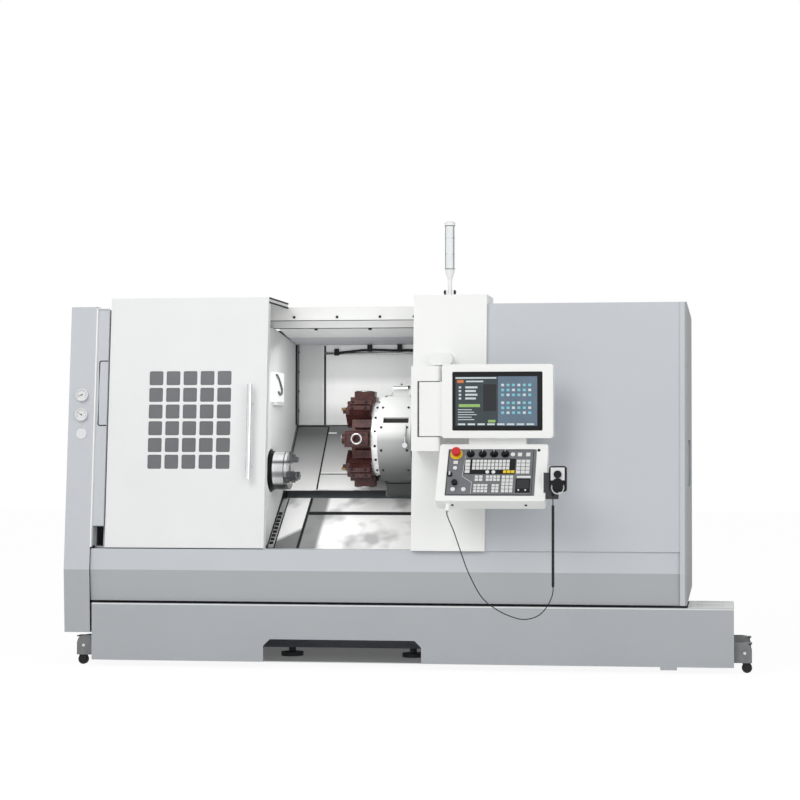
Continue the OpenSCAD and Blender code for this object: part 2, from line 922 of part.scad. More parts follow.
// One tool holder block with its tool, drawn radially along +Z
module tool_block(k) {
    w = 104;
    shoulder = turret_r - 36;
    cap_in = 10;
    lip = 24;
    groove_w = 12;
    shank = 28;
    socket_r = 34;
    socket_z = (hub_r + shoulder) / 2;
    radial_r = 30;
    middle = (turret_x + lip + disc_x) / 2;
    difference() {
        union() {
            slab([turret_x + lip, -w / 2, hub_r], [disc_x, w / 2, shoulder]);
            slab([turret_x + 2 * lip, cap_in - w / 2, shoulder],
                [disc_x - cap_in, w / 2 - cap_in, turret_r]);
            if (k % 2 == 1) x_rod(turret_x, turret_x + lip, socket_r, 0, socket_z);
            if (k % 2 == 0)
                slab([turret_x, -shank / 2, shoulder - shank], [turret_x + lip, shank / 2, shoulder]);
        }
        if (k % 2 == 1) {
            x_rod(turret_x - cut, middle, socket_r - cap_in, 0, socket_z);
            translate([middle, 0, shoulder]) cylinder(h = turret_r - shoulder + cut, r = radial_r - cap_in);
        }
        if (k % 2 == 0)
            slab([turret_x + 2 * lip - cut, -groove_w / 2, shoulder + cap_in],
                [disc_x, groove_w / 2, turret_r + cut]);
        for (side = [-1, 1])
            slab([turret_x + lip - cut, side * w / 2 - groove_w / 2, hub_r + groove_w],
                [disc_x - lip, side * w / 2 + groove_w / 2, hub_r + 2 * groove_w]);
    }
}

module tool_holders() {
    color(brown) in_frame() translate([0, turret_y, turret_z])
        for (k = [0 : stations - 1]) rotate([slant + k * 360 / stations, 0, 0]) tool_block(k);
}

module tailstock_body() {
    head_r = quill_r + 38;
    u0 = rail_u[0] - block_side;
    u1 = rail_u[1] + rail_w + block_side;
    rail_top = guide_h - way_depth;
    color(iron) in_frame() on_slant() difference() {
        union() {
            slab([tail_x, u0, run_gap - way_depth + block_low], [tail_x + tail_l, u1, rail_top + block_h]);
            along_x(tail_x, tail_x + tail_l) polygon([
                [u0, rail_top], [u1, rail_top], [head_r, swing_r + head_r / 2],
                [head_r / 2, swing_r + head_r], [-head_r / 2, swing_r + head_r],
                [-head_r, swing_r + head_r / 2], [-head_r, swing_r - head_r / 2],
            ]);
        }
        for (u = rail_u)
            slab([tail_x - cut, u - run_gap, -way_depth - cut],
                [tail_x + tail_l + cut, u + rail_w + run_gap, rail_top + run_gap]);
        x_rod(tail_x - cut, tail_x + tail_l + cut, quill_r + shaft_gap, 0, swing_r);
    }
}

module tailstock_quill() {
    color(steel) in_frame() {
        x_rod(quill_x, tail_x + tail_l - 60, quill_r, axis_y, axis_z);
        translate([quill_x - 60, axis_y, axis_z]) rotate([0, 90, 0]) cylinder(h = 60, r1 = 3, r2 = 32);
    }
}

module pendant_arm() {
    block_back = hinge_y + 50;
    bar_l = 420;
    bar_low = 90;
    bar_h = 140;
    pin_in = 20;
    color(white) in_frame() {
        slab([bracket_x + spine_w + arm_gap, hinge_y - knuckle_r, arm_z],
            [monitor_x, block_back, arm_z + arm_h]);
        slab([monitor_x - arm_t / 2, monitor_y + monitor_t, arm_z + bar_low],
            [monitor_x + bar_l, monitor_y + monitor_t + arm_t, arm_z + bar_low + bar_h]);
        translate([hinge_x, hinge_y, bracket_z + pin_in]) cylinder(h = bracket_h - 2 * pin_in, r = hinge_r);
    }
}

module monitor_housing() {
    rim = (monitor_w - bezel_w) / 2;
    sill = (monitor_h - bezel_h) / 2;
    color(white) in_frame() translate([monitor_x, monitor_y + monitor_t, monitor_z]) rotate([90, 0, 0])
        difference() {
            linear_extrude(monitor_t) round_rect(monitor_w, monitor_h, 16);
            translate([rim, sill, monitor_t - 12]) linear_extrude(12 + cut) round_rect(bezel_w, bezel_h, 8);
        }
}

module monitor_screen() {
    rim = (monitor_w - bezel_w) / 2;
    sill = (monitor_h - bezel_h) / 2;
    fit = 1;
    screen_t = 10;
    sunk = 2;
    corner = [monitor_x + rim + fit, monitor_y + sunk + screen_t, monitor_z + sill + fit];
    color(black) in_frame() translate(corner) rotate([90, 0, 0])
        linear_extrude(screen_t) round_rect(bezel_w - 2 * fit, bezel_h - 2 * fit, 7);
}

module operation_panel() {
    neck_in = 168;
    neck_w = 334;
    neck_y = panel_y + panel_l * cos(panel_tilt) + 3;
    neck_t = 64;
    neck_low = panel_z + panel_l * sin(panel_tilt) - 40;
    gland_x = 69;
    gland_l = 45;
    gland_r = 12;
    holder_t = 10;
    holder_in = 20;
    color(white) in_frame() {
        difference() {
            on_panel() translate([0, 0, -panel_t]) linear_extrude(panel_t) round_rect(panel_w, panel_l, 14);
            on_panel() translate([key_x, key_y, -key_deep])
                linear_extrude(key_deep + cut) round_rect(key_w, key_l, 6);
        }
        slab([panel_x + neck_in, neck_y, neck_low], [panel_x + neck_in + neck_w, neck_y + neck_t, monitor_z]);
        on_panel() translate([gland_x, cut, -panel_t / 2]) rotate([90, 0, 0])
            cylinder(h = gland_l + cut, r = gland_r);
        slab([panel_x + panel_w - holder_in, mpg_y + mpg_t, mpg_z - 2 * holder_in],
            [mpg_x + mpg_w / 2, mpg_y + mpg_t + holder_t, mpg_z + mpg_h - 2 * holder_in]);
    }
}

// Field of keys: nx by ny, each a square cap
module key_field(x, y, nx, ny, pitch) {
    gap = 4;
    rise = 5;
    for (i = [0 : nx - 1], j = [0 : ny - 1])
        translate([x + i * pitch.x, y + j * pitch.y, -cut]) cube([pitch.x - gap, pitch.y - gap, rise + cut]);
}

module key_panel() {
    edge = 1;
    plate_t = 8;
    color(dark_grey) in_frame() on_panel() translate([key_x, key_y, -key_deep]) {
        difference() {
            translate([edge, edge, 0]) linear_extrude(plate_t)
                round_rect(key_w - 2 * edge, key_l - 2 * edge, 5);
            translate([stop_x - key_x, knob_y - key_y, -cut])
                cylinder(h = plate_t + 2 * cut, r = stop_stem_r + run_gap);
        }
        translate([0, 0, plate_t]) {
            key_field(147, 178, 10, 3, [22, 24]);
            key_field(106, 154, 1, 4, [32, 24]);
            key_field(404, 150, 3, 4, [27, 25]);
            key_field(168, 98, 2, 2, [24, 21]);
            key_field(232, 98, 4, 2, [21, 21]);
            key_field(324, 20, 3, 5, [23, 24]);
            key_field(164, 20, 4, 3, [21, 20]);
            key_field(269, 20, 2, 3, [22, 20]);
        }
    }
}

// Places on the operation panel's face
knob_y = 324;
stop_x = 101;
stop_stem_r = 14;
knob_x = [184, 254, 321, 386];
face_top = 2;

module e_stop() {
    color("#c8202a") in_frame() on_panel() translate([stop_x, knob_y, face_top]) {
        translate([0, 0, -3]) cylinder(h = 24, r = stop_stem_r);
        translate([0, 0, 20]) cylinder(h = 16, r = 26);
    }
}

// Rotary knob k of the operation panel
module knob(k) {
    color(black) in_frame() on_panel() translate([knob_x[k], knob_y, face_top + run_gap]) {
        cylinder(h = 4, r = 24);
        translate([0, 0, 4]) cylinder(h = 16, r = 15);
        translate([-4, -18, 4]) cube([8, 36, 18]);
    }
}

module knob_1() { knob(0); }
module knob_2() { knob(1); }
module knob_3() { knob(2); }
module knob_4() { knob(3); }

module mpg_box() {
    color(black) in_frame() translate([mpg_x, mpg_y + mpg_t, mpg_z]) rotate([90, 0, 0])
        linear_extrude(mpg_t) round_rect(mpg_w, mpg_h, 18);
    color(black) in_frame() translate(lead_top) cylinder(h = mpg_z - lead_top.z + cut, r = 9);
}

module mpg_wheel() {
    hub = [mpg_x + mpg_w / 2, mpg_y - run_gap, mpg_z + mpg_hub_z];
    color(steel) in_frame() translate(hub) rotate([90, 0, 0]) {
        cylinder(h = mpg_wheel_t, r = mpg_wheel_r);
        translate([mpg_wheel_r - 10, 0, mpg_wheel_t]) cylinder(h = mpg_grip_l, r = 6);
    }
}

// Ring of points round a route point, square to the route's plane of travel
function ring(p, t, r, n) =
    let (a = norm(cross(t, [0, 1, 0])) > 0 ? cross(t, [0, 1, 0]) / norm(cross(t, [0, 1, 0])) : [1, 0, 0])
    let (b = cross(a, t))
    [for (k = [0 : n - 1]) p + r * (cos(k * 360 / n) * a + sin(k * 360 / n) * b)];

// Tube of radius r along a list of points
module tube(path, r, n) {
    last = len(path) - 1;
    tangents = [for (i = [0 : last])
        let (d = path[min(i + 1, last)] - path[max(i - 1, 0)]) d / norm(d)];
    points = [for (i = [0 : last]) each ring(path[i], tangents[i], r, n)];
    sides = [for (i = [0 : last - 1], k = [0 : n - 1])
        [i * n + k, i * n + (k + 1) % n, (i + 1) * n + (k + 1) % n, (i + 1) * n + k]];
    near = [for (k = [0 : n - 1]) n - 1 - k];
    far = [for (k = [0 : n - 1]) last * n + k];
    polyhedron(points = points, faces = concat(sides, [near, far]), convexity = 6);
}

module mpg_coil() {
    color(black) in_frame() tube([coil_top, coil_low], coil_d / 2, 12);
}

module mpg_lead() {
    color(black) in_frame() {
        tube(lead_route, lead_d / 2, 8);
        tube([lead_top, coil_top], lead_d / 2, 8);
    }
}

module coolant_tank() {
    back = tank_y + tank_d;
    right = tank_x + tank_l;
    rest_x = right - 427;
    rest_w = 97;
    rest_drop = 18;
    color(grey) in_frame() difference() {
        union() {
            slab([tank_x, tank_y, tank_low], [right, back, tank_h]);
            slab([rest_x, tank_y, tank_low - rest_drop], [rest_x + rest_w, tank_y + tank_wall, tank_low + cut]);
        }
        slab([tank_x + tank_wall, tank_y + tank_wall, tank_floor],
            [right - tank_wall, back - tank_wall, tank_h + cut]);
        slab([tank_x + tank_wall, tank_y + tank_wall, tank_low - cut],
            [right - tank_wall, back + cut, tank_floor - tank_wall]);
        translate([notch_x, tank_y + tank_wall + cut, 0]) rotate([90, 0, 0])
            linear_extrude(tank_wall + 2 * cut) polygon([
                [0, tank_low - cut], [0, notch_top - notch_cut], [notch_cut, notch_top],
                [notch_w - notch_cut, notch_top], [notch_w, notch_top - notch_cut], [notch_w, tank_low - cut],
            ]);
    }
}

// Places of the four casters: x of the tank's end, side, y
caster_y = [60, 480];
function caster_x(side) = side < 0 ? tank_x - caster_out : tank_x + tank_l + caster_out;

// Fork of one caster
module caster_fork(side, y) {
    plate_z = 170;
    plate_w = 80;
    plate_t = 6;
    cheek = 5;
    cheek_w = 44;
    bridge_h = 20;
    below = 12;
    gap = wheel_w / 2 + 1;
    ends = [-side * caster_out, side * (caster_reach - caster_out)];
    translate([caster_x(side), y, 0]) difference() {
        union() {
            slab([min(ends), -plate_w / 2, plate_z], [max(ends), plate_w / 2, plate_z + plate_t]);
            for (s = [-1, 1]) translate([0, s * (gap + cheek / 2), 0])
                slab([-cheek_w / 2, -cheek / 2, wheel_gap + wheel_r - below],
                    [cheek_w / 2, cheek / 2, plate_z]);
            slab([-cheek_w / 2, -gap, plate_z - bridge_h], [cheek_w / 2, gap, plate_z]);
        }
        y_rod(0, -plate_w, plate_w, axle_r, wheel_gap + wheel_r);
    }
}

module caster_brackets() {
    color(black) in_frame() for (side = [-1, 1], y = caster_y) caster_fork(side, y);
}

// Caster wheel with its axle
module caster(side, y) {
    color(dark_grey) in_frame() translate([caster_x(side), y, wheel_gap + wheel_r]) {
        y_rod(0, -wheel_w / 2, wheel_w / 2, wheel_r, 0);
        y_rod(0, -wheel_w / 2 - 7, wheel_w / 2 + 7, axle_r - shaft_gap, 0);
    }
}

module caster_1() { caster(-1, caster_y[0]); }
module caster_2() { caster(-1, caster_y[1]); }
module caster_3() { caster(1, caster_y[0]); }
module caster_4() { caster(1, caster_y[1]); }

bed();
levelling_feet();
headstock();
spindle_motor();
drive_belt();
left_end_cover();
left_front_panel();
pressure_gauges();
lower_apron();
chamber_left_wall();
chamber_back_wall();
chip_chute();
way_cover_fixed();
roof_panels();
door_rail();
control_column();
right_front_cover();
right_end_cover();
rear_cover();
electrical_cabinet();
signal_pole();
signal_lens();
pendant_bracket();
door_panel();
door_window();
door_handle();
spindle();
chuck();
jaw_1();
jaw_2();
jaw_3();
motor_pulley();
way_cover_mid();
saddle();
way_cover_sliding();
turret_body();
turret_disc();
tool_holders();
tailstock_body();
tailstock_quill();
pendant_arm();
monitor_housing();
monitor_screen();
operation_panel();
key_panel();
e_stop();
knob_1();
knob_2();
knob_3();
knob_4();
mpg_box();
mpg_wheel();
mpg_coil();
mpg_lead();
coolant_tank();
caster_brackets();
caster_1();
caster_2();
caster_3();
caster_4();
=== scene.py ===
"""Finish, fittings and light of the turning lathe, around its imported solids."""
import math

import bmesh
import bpy
from mathutils import Matrix, Vector

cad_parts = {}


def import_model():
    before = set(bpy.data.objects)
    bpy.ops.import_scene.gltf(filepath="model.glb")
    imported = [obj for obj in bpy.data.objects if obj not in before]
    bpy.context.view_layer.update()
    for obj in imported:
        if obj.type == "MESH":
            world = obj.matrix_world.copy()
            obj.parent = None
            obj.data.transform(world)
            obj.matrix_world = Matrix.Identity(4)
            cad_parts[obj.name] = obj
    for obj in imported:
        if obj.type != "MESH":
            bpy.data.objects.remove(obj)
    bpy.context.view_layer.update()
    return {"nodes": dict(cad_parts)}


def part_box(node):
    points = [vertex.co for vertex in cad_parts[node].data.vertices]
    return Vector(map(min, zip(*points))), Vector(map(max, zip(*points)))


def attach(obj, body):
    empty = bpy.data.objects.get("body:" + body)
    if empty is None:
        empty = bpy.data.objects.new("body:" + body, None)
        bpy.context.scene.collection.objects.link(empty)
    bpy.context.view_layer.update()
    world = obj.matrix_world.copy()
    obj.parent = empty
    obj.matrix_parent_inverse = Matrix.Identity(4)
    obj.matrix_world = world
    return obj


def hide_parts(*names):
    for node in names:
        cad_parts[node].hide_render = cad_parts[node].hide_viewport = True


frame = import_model()

# Machine frame: millimetres to the right, back from the door's lower front edge and up from the floor.
# The row frame has its origin under the middle of the machine and counts in metres.
MID_X = 2038.5
MID_Y = 661.85
PER_METRE = 1000
TO_ROW = (Matrix.Translation((-MID_X / PER_METRE, -MID_Y / PER_METRE, 0))
          @ Matrix.Scale(1 / PER_METRE, 4))

RIGHT, LEFT = (1, 0, 0), (-1, 0, 0)
BACK, FRONT = (0, 1, 0), (0, -1, 0)
UP, DOWN = (0, 0, 1), (0, 0, -1)

QUARTER = math.radians(90)
LEAN = math.radians(5)  # of the fronts above the knee
SLANT = math.radians(45)  # of the bed and its way covers
PANEL_TILT = math.radians(55)  # of the operation panel
KNEE_Z = 579  # where the fronts begin to lean
COLUMN_Y = -38  # front of the left end and the column, at the knee
SWING_R = 344  # from the way covers out to the spindle's axis
TURRET_U = 280  # turret's axis, up the slope
PANEL_ORIGIN = (2300, -430, 1011)  # lower left corner of the operation panel
KEY_PLATE = (52, 36)  # lower left corner of the key plate on the panel
JOINT_X = 1300  # left edge of the upright joint in the chamber's sheets
RAIL_H = 45  # grey rail under the white header

# Lead of the hand-pulse unit, in the machine frame
LEAD_TOP = (2977, -424, 1042)
COIL_TOP = (2977, -424, 990)
COIL_LOW = (2977, -424, 520)
LEAD_ROUTE = [
    (2977, -424, 520), (2977, -424, 500), (2969, -424, 465), (2947, -424, 420), (2912, -424, 375),
    (2866, -424, 348), (2811, -424, 338), (2757, -424, 347), (2690, -424, 373),
    (2636, -424, 404), (2598, -424, 432), (2560, -424, 474), (2522, -424, 540),
    (2484, -424, 620), (2455, -424, 700), (2431, -424, 770), (2407, -426, 840),
    (2387, -436, 890), (2373, -440, 925), (2369, -432, 938), (2369, -423, 951),
]
LEAD_D = 6.0
COIL_D = 18.0
COIL_TURNS = 66
COIL_STEPS = 14  # points to a turn
COIL_EASE = 0.8  # turns over which the coil opens and closes


def cad(node):
    """Lowest and highest corner of a CAD node, in the machine frame."""
    low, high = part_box(node)
    shift = Vector((MID_X, MID_Y, 0))
    return Vector(low) * PER_METRE + shift, Vector(high) * PER_METRE + shift


def row_x(x):
    """Row metres of a machine x."""
    return (x - MID_X) / PER_METRE


LEDGE_Z = cad("door_panel")[0].z
LEDGE_DROP = 0.3  # from the door's lower edge to the ledge it slides on
AXIS = (cad("spindle")[0] + cad("spindle")[1]) / 2


# Frames on the machine


def leaning(x, y, z):
    """On a leaning front: x to the right, y into the machine, z up the slope."""
    return Matrix.Translation((x, y, z)) @ Matrix.Rotation(-LEAN, 4, "X")


def front_y(y, z):
    """Depth of the leaning plane that has depth y at the knee."""
    return y + (z - KNEE_Z) * math.tan(LEAN)


def facing(place):
    """The same place, turned so that x runs right, y up the front and z out of it."""
    return place @ Matrix.Rotation(QUARTER, 4, "X")


def on_slant():
    """On the way covers: x along the bed, y up the slope, z away from the covers."""
    foot = (0, AXIS.y + SWING_R * math.sin(SLANT), AXIS.z - SWING_R * math.cos(SLANT))
    return Matrix.Translation(foot) @ Matrix.Rotation(SLANT, 4, "X")


def on_slope(low, top):
    """On a sheet that rises from low to top: x along the machine, y up the sheet, z out of it."""
    run = top - low
    return Matrix.Translation(low) @ Matrix.Rotation(math.atan2(run.z, run.y), 4, "X")


def on_panel():
    """On the operation panel: x to the right, y up its face, z out of it."""
    return Matrix.Translation(PANEL_ORIGIN) @ Matrix.Rotation(PANEL_TILT, 4, "X")


# Materials


# Sockets of a Mix node for each kind of value: factor, first, second and result
MIX_SOCKETS = {"FLOAT": (0, 2, 3, 0), "RGBA": (0, 6, 7, 2)}
NOISE_RANGE = (0.3, 0.7)
SHARP = 0.0004
MATT_LEVEL = 0.2


def srgb(*levels):
    """Linear colour of display levels from 0 to 255."""
    return tuple(((v / 255 + 0.055) / 1.055) ** 2.4 for v in levels)


def shade(colour, factor):
    return tuple(min(1.0, c * factor) for c in colour) + (1.0,)


class Finish:
    """A material whose colour, gloss and relief vary a little over the surface."""

    def __init__(self, name, colour, rough, metal=0.0, vary=0.04, patch=3.0, stretch=(1, 1, 1)):
        self.material = bpy.data.materials.new(name)
        self.material.use_nodes = True
        self.nodes = self.material.node_tree.nodes
        self.links = self.material.node_tree.links
        self.shader = self.nodes["Principled BSDF"]
        self.colour = self.mix(
            self.spread(self.noise(patch, stretch), 0, 1),
            shade(colour, 1 - vary), shade(colour, 1 + vary))
        self.rough = self.spread(self.noise(patch * 2.3, stretch), rough * 0.85, rough * 1.15)
        self.shader.inputs["Metallic"].default_value = metal
        self.wire()

    def wire(self):
        self.links.new(self.colour, self.shader.inputs["Base Color"])
        self.links.new(self.rough, self.shader.inputs["Roughness"])

    def feed(self, socket, value):
        """Link an output to a socket, or set the socket's own value."""
        if isinstance(value, bpy.types.NodeSocket):
            self.links.new(value, socket)
        else:
            socket.default_value = value

    def place(self):
        return self.nodes.new("ShaderNodeTexCoord").outputs["Object"]

    def noise(self, scale, stretch=(1, 1, 1), detail=3.0):
        turn = self.nodes.new("ShaderNodeMapping")
        turn.inputs["Scale"].default_value = stretch
        made = self.nodes.new("ShaderNodeTexNoise")
        made.inputs["Scale"].default_value = scale
        made.inputs["Detail"].default_value = detail
        self.links.new(self.place(), turn.inputs["Vector"])
        self.links.new(turn.outputs["Vector"], made.inputs["Vector"])
        return made.outputs["Fac"]

    def ramp(self, value, start, end, low=0.0, high=1.0):
        """From low, where value is at start or below, to high, where it is at end or above."""
        made = self.nodes.new("ShaderNodeMapRange")
        levels = {"From Min": start, "From Max": end, "To Min": low, "To Max": high}
        for name, level in levels.items():
            made.inputs[name].default_value = level
        self.links.new(value, made.inputs["Value"])
        return made.outputs["Result"]

    def spread(self, value, low, high):
        """The range that most of a noise lies in, spread from low to high."""
        return self.ramp(value, *NOISE_RANGE, low, high)

    def cloud(self, scale, stretch, low, high):
        """Wide soft patches."""
        return self.spread(self.noise(scale, stretch, 2.0), low, high)

    def mix(self, factor, one, two, kind="RGBA"):
        made = self.nodes.new("ShaderNodeMix")
        made.data_type = kind
        *sockets, result = MIX_SOCKETS[kind]
        for index, value in zip(sockets, (factor, one, two)):
            self.feed(made.inputs[index], value)
        return made.outputs[result]

    def relief(self, scale, depth):
        """Fine bumps, depth in metres."""
        made = self.nodes.new("ShaderNodeBump")
        made.inputs["Strength"].default_value = 0.35
        made.inputs["Distance"].default_value = depth
        self.links.new(self.noise(scale), made.inputs["Height"])
        self.links.new(made.outputs["Normal"], self.shader.inputs["Normal"])
        return self

    def matt(self):
        """Weak highlights."""
        self.shader.inputs["Specular IOR Level"].default_value = MATT_LEVEL
        return self

    def beyond(self, direction, limit, soft=SHARP):
        """1 where the place lies further along a direction than limit, in row metres."""
        dot = self.nodes.new("ShaderNodeVectorMath")
        dot.operation = "DOT_PRODUCT"
        dot.inputs[1].default_value = direction
        self.links.new(self.place(), dot.inputs[0])
        return self.ramp(dot.outputs["Value"], limit - soft, limit + soft)

    def times(self, one, two):
        made = self.nodes.new("ShaderNodeMath")
        made.operation = "MULTIPLY"
        for socket, value in zip(made.inputs, (one, two)):
            self.feed(socket, value)
        return made.outputs[0]

    def between(self, direction, low, high, soft=SHARP):
        """1 where the place lies from low to high along a direction, in row metres."""
        back = tuple(-d for d in direction)
        return self.times(self.beyond(direction, low, soft), self.beyond(back, -high, soft))

    def zone(self, mask, colour, rough=None, metal=None, share=1.0):
        """Another colour and gloss where mask is 1, or only a share of the colour."""
        if share < 1:
            mask = self.times(mask, share)
        self.colour = self.mix(mask, self.colour, shade(colour, 1))
        if rough is not None:
            self.rough = self.mix(mask, self.rough, rough, "FLOAT")
        if metal is not None:
            socket = self.shader.inputs["Metallic"]
            self.links.new(self.mix(mask, socket.default_value, metal, "FLOAT"), socket)
        self.wire()
        return self


def paint(name, colour, rough=0.42):
    return Finish(name, colour, rough, vary=0.02, patch=1.6).relief(900, 0.0002).matt()


GREY = srgb(201, 205, 210)

white_paint = paint("white_paint", srgb(246, 247, 245))
door_paint = paint("door_paint", srgb(238, 239, 239))
grey_paint = paint("grey_paint", GREY)
tank_paint = paint("tank_paint", srgb(178, 182, 186))
dark_paint = paint("dark_paint", srgb(96, 100, 104))
motor_paint = paint("motor_paint", srgb(70, 76, 84), 0.5)
holder_paint = paint("holder_paint", srgb(78, 79, 81), 0.5)
wall_paint = paint("wall_paint", srgb(206, 207, 207), 0.5)
polished = Finish("polished_steel", srgb(214, 215, 216), 0.16, metal=1.0, vary=0.05, patch=9)
chrome = Finish("chrome", srgb(225, 226, 228), 0.08, metal=1.0, vary=0.03, patch=20)
cast_iron = paint("cast_iron", srgb(142, 148, 152), 0.55)
tool_brown = Finish("tool_brown", srgb(62, 36, 34), 0.26, metal=0.40, vary=0.45, patch=14)
tool_brown.relief(700, 0.0002)
black_steel = Finish("black_steel", srgb(34, 34, 36), 0.40, metal=0.6, vary=0.15, patch=20)
jaw_steel = Finish("jaw_steel", srgb(92, 93, 95), 0.30, metal=0.7, vary=0.15, patch=20)
black_plastic = Finish("black_plastic", srgb(22, 23, 25), 0.46, vary=0.12, patch=30)
black_plastic.relief(1500, 0.0001).matt()
seal_grey = Finish("seal_grey", srgb(96, 97, 99), 0.5, vary=0.10, patch=12)
rubber = Finish("rubber", srgb(22, 22, 23), 0.72, vary=0.15, patch=40).relief(1200, 0.0002)
wheel_grey = Finish("wheel_grey", srgb(120, 122, 124), 0.6, vary=0.08, patch=30)
red_plastic = Finish("red_plastic", srgb(206, 30, 34), 0.30, vary=0.06, patch=40)
yellow_plastic = Finish("yellow_plastic", srgb(240, 205, 40), 0.40, vary=0.05, patch=40)
light_plastic = Finish("light_plastic", srgb(226, 228, 228), 0.38, vary=0.03, patch=30)
screen_dark = Finish("screen_dark", srgb(52, 62, 68), 0.22, vary=0.10, patch=12)
screen_blue = Finish("screen_blue", srgb(96, 116, 134), 0.22, vary=0.08, patch=12)
screen_pale = Finish("screen_pale", srgb(206, 216, 220), 0.22, vary=0.05, patch=12)
screen_black = Finish("screen_black", srgb(24, 27, 30), 0.20, vary=0.10, patch=12)
screen_orange = Finish("screen_orange", srgb(214, 120, 60), 0.22, vary=0.05, patch=12)
screen_green = Finish("screen_green", srgb(150, 190, 110), 0.22, vary=0.05, patch=12)
screen_cyan = Finish("screen_cyan", srgb(128, 196, 208), 0.22, vary=0.05, patch=12)
carbide = Finish("carbide", srgb(150, 130, 92), 0.30, metal=1.0, vary=0.10, patch=60)
window_pane = Finish("window_pane", srgb(112, 114, 117), 0.16, vary=0.14, patch=2.2)
clear_lens = Finish("clear_lens", srgb(236, 240, 241), 0.18, vary=0.02, patch=30)


def cover_finish():
    """Brushed way covers, darker towards the top of the slope and duller at the left."""
    made = Finish("cover_sheet", srgb(246, 246, 244), 0.34, metal=0.3, vary=0.06, patch=2.0)
    up = Vector((0, math.cos(SLANT), math.sin(SLANT)))
    middle = (TO_ROW @ (on_slant() @ Vector((0, 430, 0)))).dot(up)
    made.zone(made.beyond(up, middle, 0.25), srgb(112, 113, 113))
    left = made.beyond(LEFT, -row_x(JOINT_X + 30), 0.01)
    dull = made.times(left, made.beyond(up, middle - 0.10, 0.09))
    return made.zone(dull, srgb(92, 93, 94), share=0.25)


def wall_finish():
    """Clouded sheet at the back of the chamber, brightest in the middle as a painted highlight, darker at
    its top, its foot and near the chuck with painted shade.
    """
    made = Finish("wall_sheet", srgb(246, 246, 245), 0.40, metal=0.15, vary=0.05, patch=2.4)
    made.zone(made.cloud(3.2, (1.0, 1.0, 0.6), -0.5, 0.7), srgb(206, 207, 207))
    # Painted shade at the top and the foot of the sheet, leaving a painted highlight in its middle.
    made.zone(made.beyond(UP, 1.76, 0.03), srgb(186, 187, 187), share=0.55)
    made.zone(made.beyond(DOWN, -1.57, 0.05), srgb(190, 191, 191), share=0.55)
    # Painted shade on the part left of the joint, near the chuck.
    return made.zone(made.beyond(LEFT, -row_x(JOINT_X), 0.02), srgb(166, 167, 167), share=0.6)


def chute_finish():
    """Bright chute with wide darker patches and the dark reflections at its left."""
    made = Finish("chute_sheet", srgb(246, 246, 245), 0.40, metal=0.15, vary=0.04, patch=2.0)
    made.zone(made.cloud(4.2, (1.2, 1.2, 1.0), -1.1, 0.9), srgb(176, 177, 177))
    joint, strip = row_x(JOINT_X + 12), row_x(JOINT_X + 124)
    right = made.times(made.beyond(RIGHT, joint, 0.003), made.beyond(LEFT, -strip, 0.012))
    made.zone(right, srgb(112, 113, 113), share=0.85)
    wedge = made.beyond((0.5, 0, -1), -1.174, 0.012)
    left = made.times(made.beyond(LEFT, -joint, 0.003), wedge)
    return made.zone(left, srgb(100, 101, 101), share=0.9)


def drum_finish():
    """White turret housing, grey below its slot and darker towards its underside, both painted shade."""
    made = paint("drum_paint_and_shade", srgb(184, 185, 183))
    # Two steps of painted shade towards the housing's underside.
    for height, soft, colour in ((215, 0.03, srgb(142, 143, 143)), (90, 0.12, srgb(84, 85, 85))):
        made.zone(made.beyond(DOWN, -(AXIS.z + height) / PER_METRE, soft), colour)
    return made


def chuck_finish():
    """Chrome body in bright and dark bands of painted reflection, with a blackened ring at the back and a
    dark joint.
    """
    made = Finish("chuck_steel", srgb(228, 229, 230), 0.24, metal=0.70, vary=0.10, patch=6,
                  stretch=(30, 1, 1))
    axis = AXIS.z / PER_METRE
    # Dark bands of painted reflection at set heights round the chrome body.
    for low, high, level in ((0.044, 0.062, 96), (-0.042, -0.006, 150), (-0.2, -0.082, 84)):
        reflection_band = made.between(UP, axis + low, axis + high, 0.008)
        made.zone(reflection_band, srgb(level, level, level + 1))
    back = row_x(cad("chuck")[0].x)
    made.zone(made.beyond(LEFT, -back - 0.046), srgb(20, 20, 22), 0.35, 0.3)
    joint = made.between(RIGHT, back + 0.114, back + 0.120)
    return made.zone(joint, srgb(40, 40, 42), 0.4, 0.3)


def disc_finish():
    """Bright disc with a brown hub under the tool holders."""
    made = Finish("disc_steel", srgb(222, 222, 222), 0.30, metal=0.5, vary=0.05, patch=8)
    hub_end = row_x(cad("turret_disc")[1].x - 45.5)
    return made.zone(made.beyond(LEFT, -hub_end), srgb(80, 52, 48), 0.36, 0.3)


def end_finish():
    """Grey casing, darker below its knee with painted shade, where the front leans in."""
    made = paint("end_paint_and_shade", GREY)
    # Painted shade on the inward-leaning front below the knee.
    return made.zone(made.beyond(DOWN, -KNEE_Z / PER_METRE), srgb(178, 182, 185))


def side_finish():
    """Grey right end, rougher on its flank and darker there with painted shade."""
    made = paint("side_paint_and_shade", GREY)
    flank = row_x(cad("right_end_cover")[1].x - 12)
    # Painted shade on the flank that faces right, with a rougher gloss there.
    return made.zone(made.beyond(RIGHT, flank), srgb(164, 166, 168), 0.6)


def rail_finish():
    """White header above a grey rail."""
    made = paint("rail_paint", srgb(238, 239, 237))
    rail_top = (cad("door_rail")[0].z + RAIL_H) / PER_METRE
    return made.zone(made.beyond(DOWN, -rail_top), srgb(205, 206, 205), 0.3)


def key_finish():
    """Dark plate with pale keys that stand out of it."""
    made = Finish("key_plate", srgb(108, 111, 114), 0.45, vary=0.06, patch=20)
    out = on_panel().to_3x3() @ Vector(UP)
    plate = (TO_ROW @ Vector(PANEL_ORIGIN)).dot(out)
    return made.zone(made.beyond(out, plate + 0.0035), srgb(222, 223, 222), 0.4)


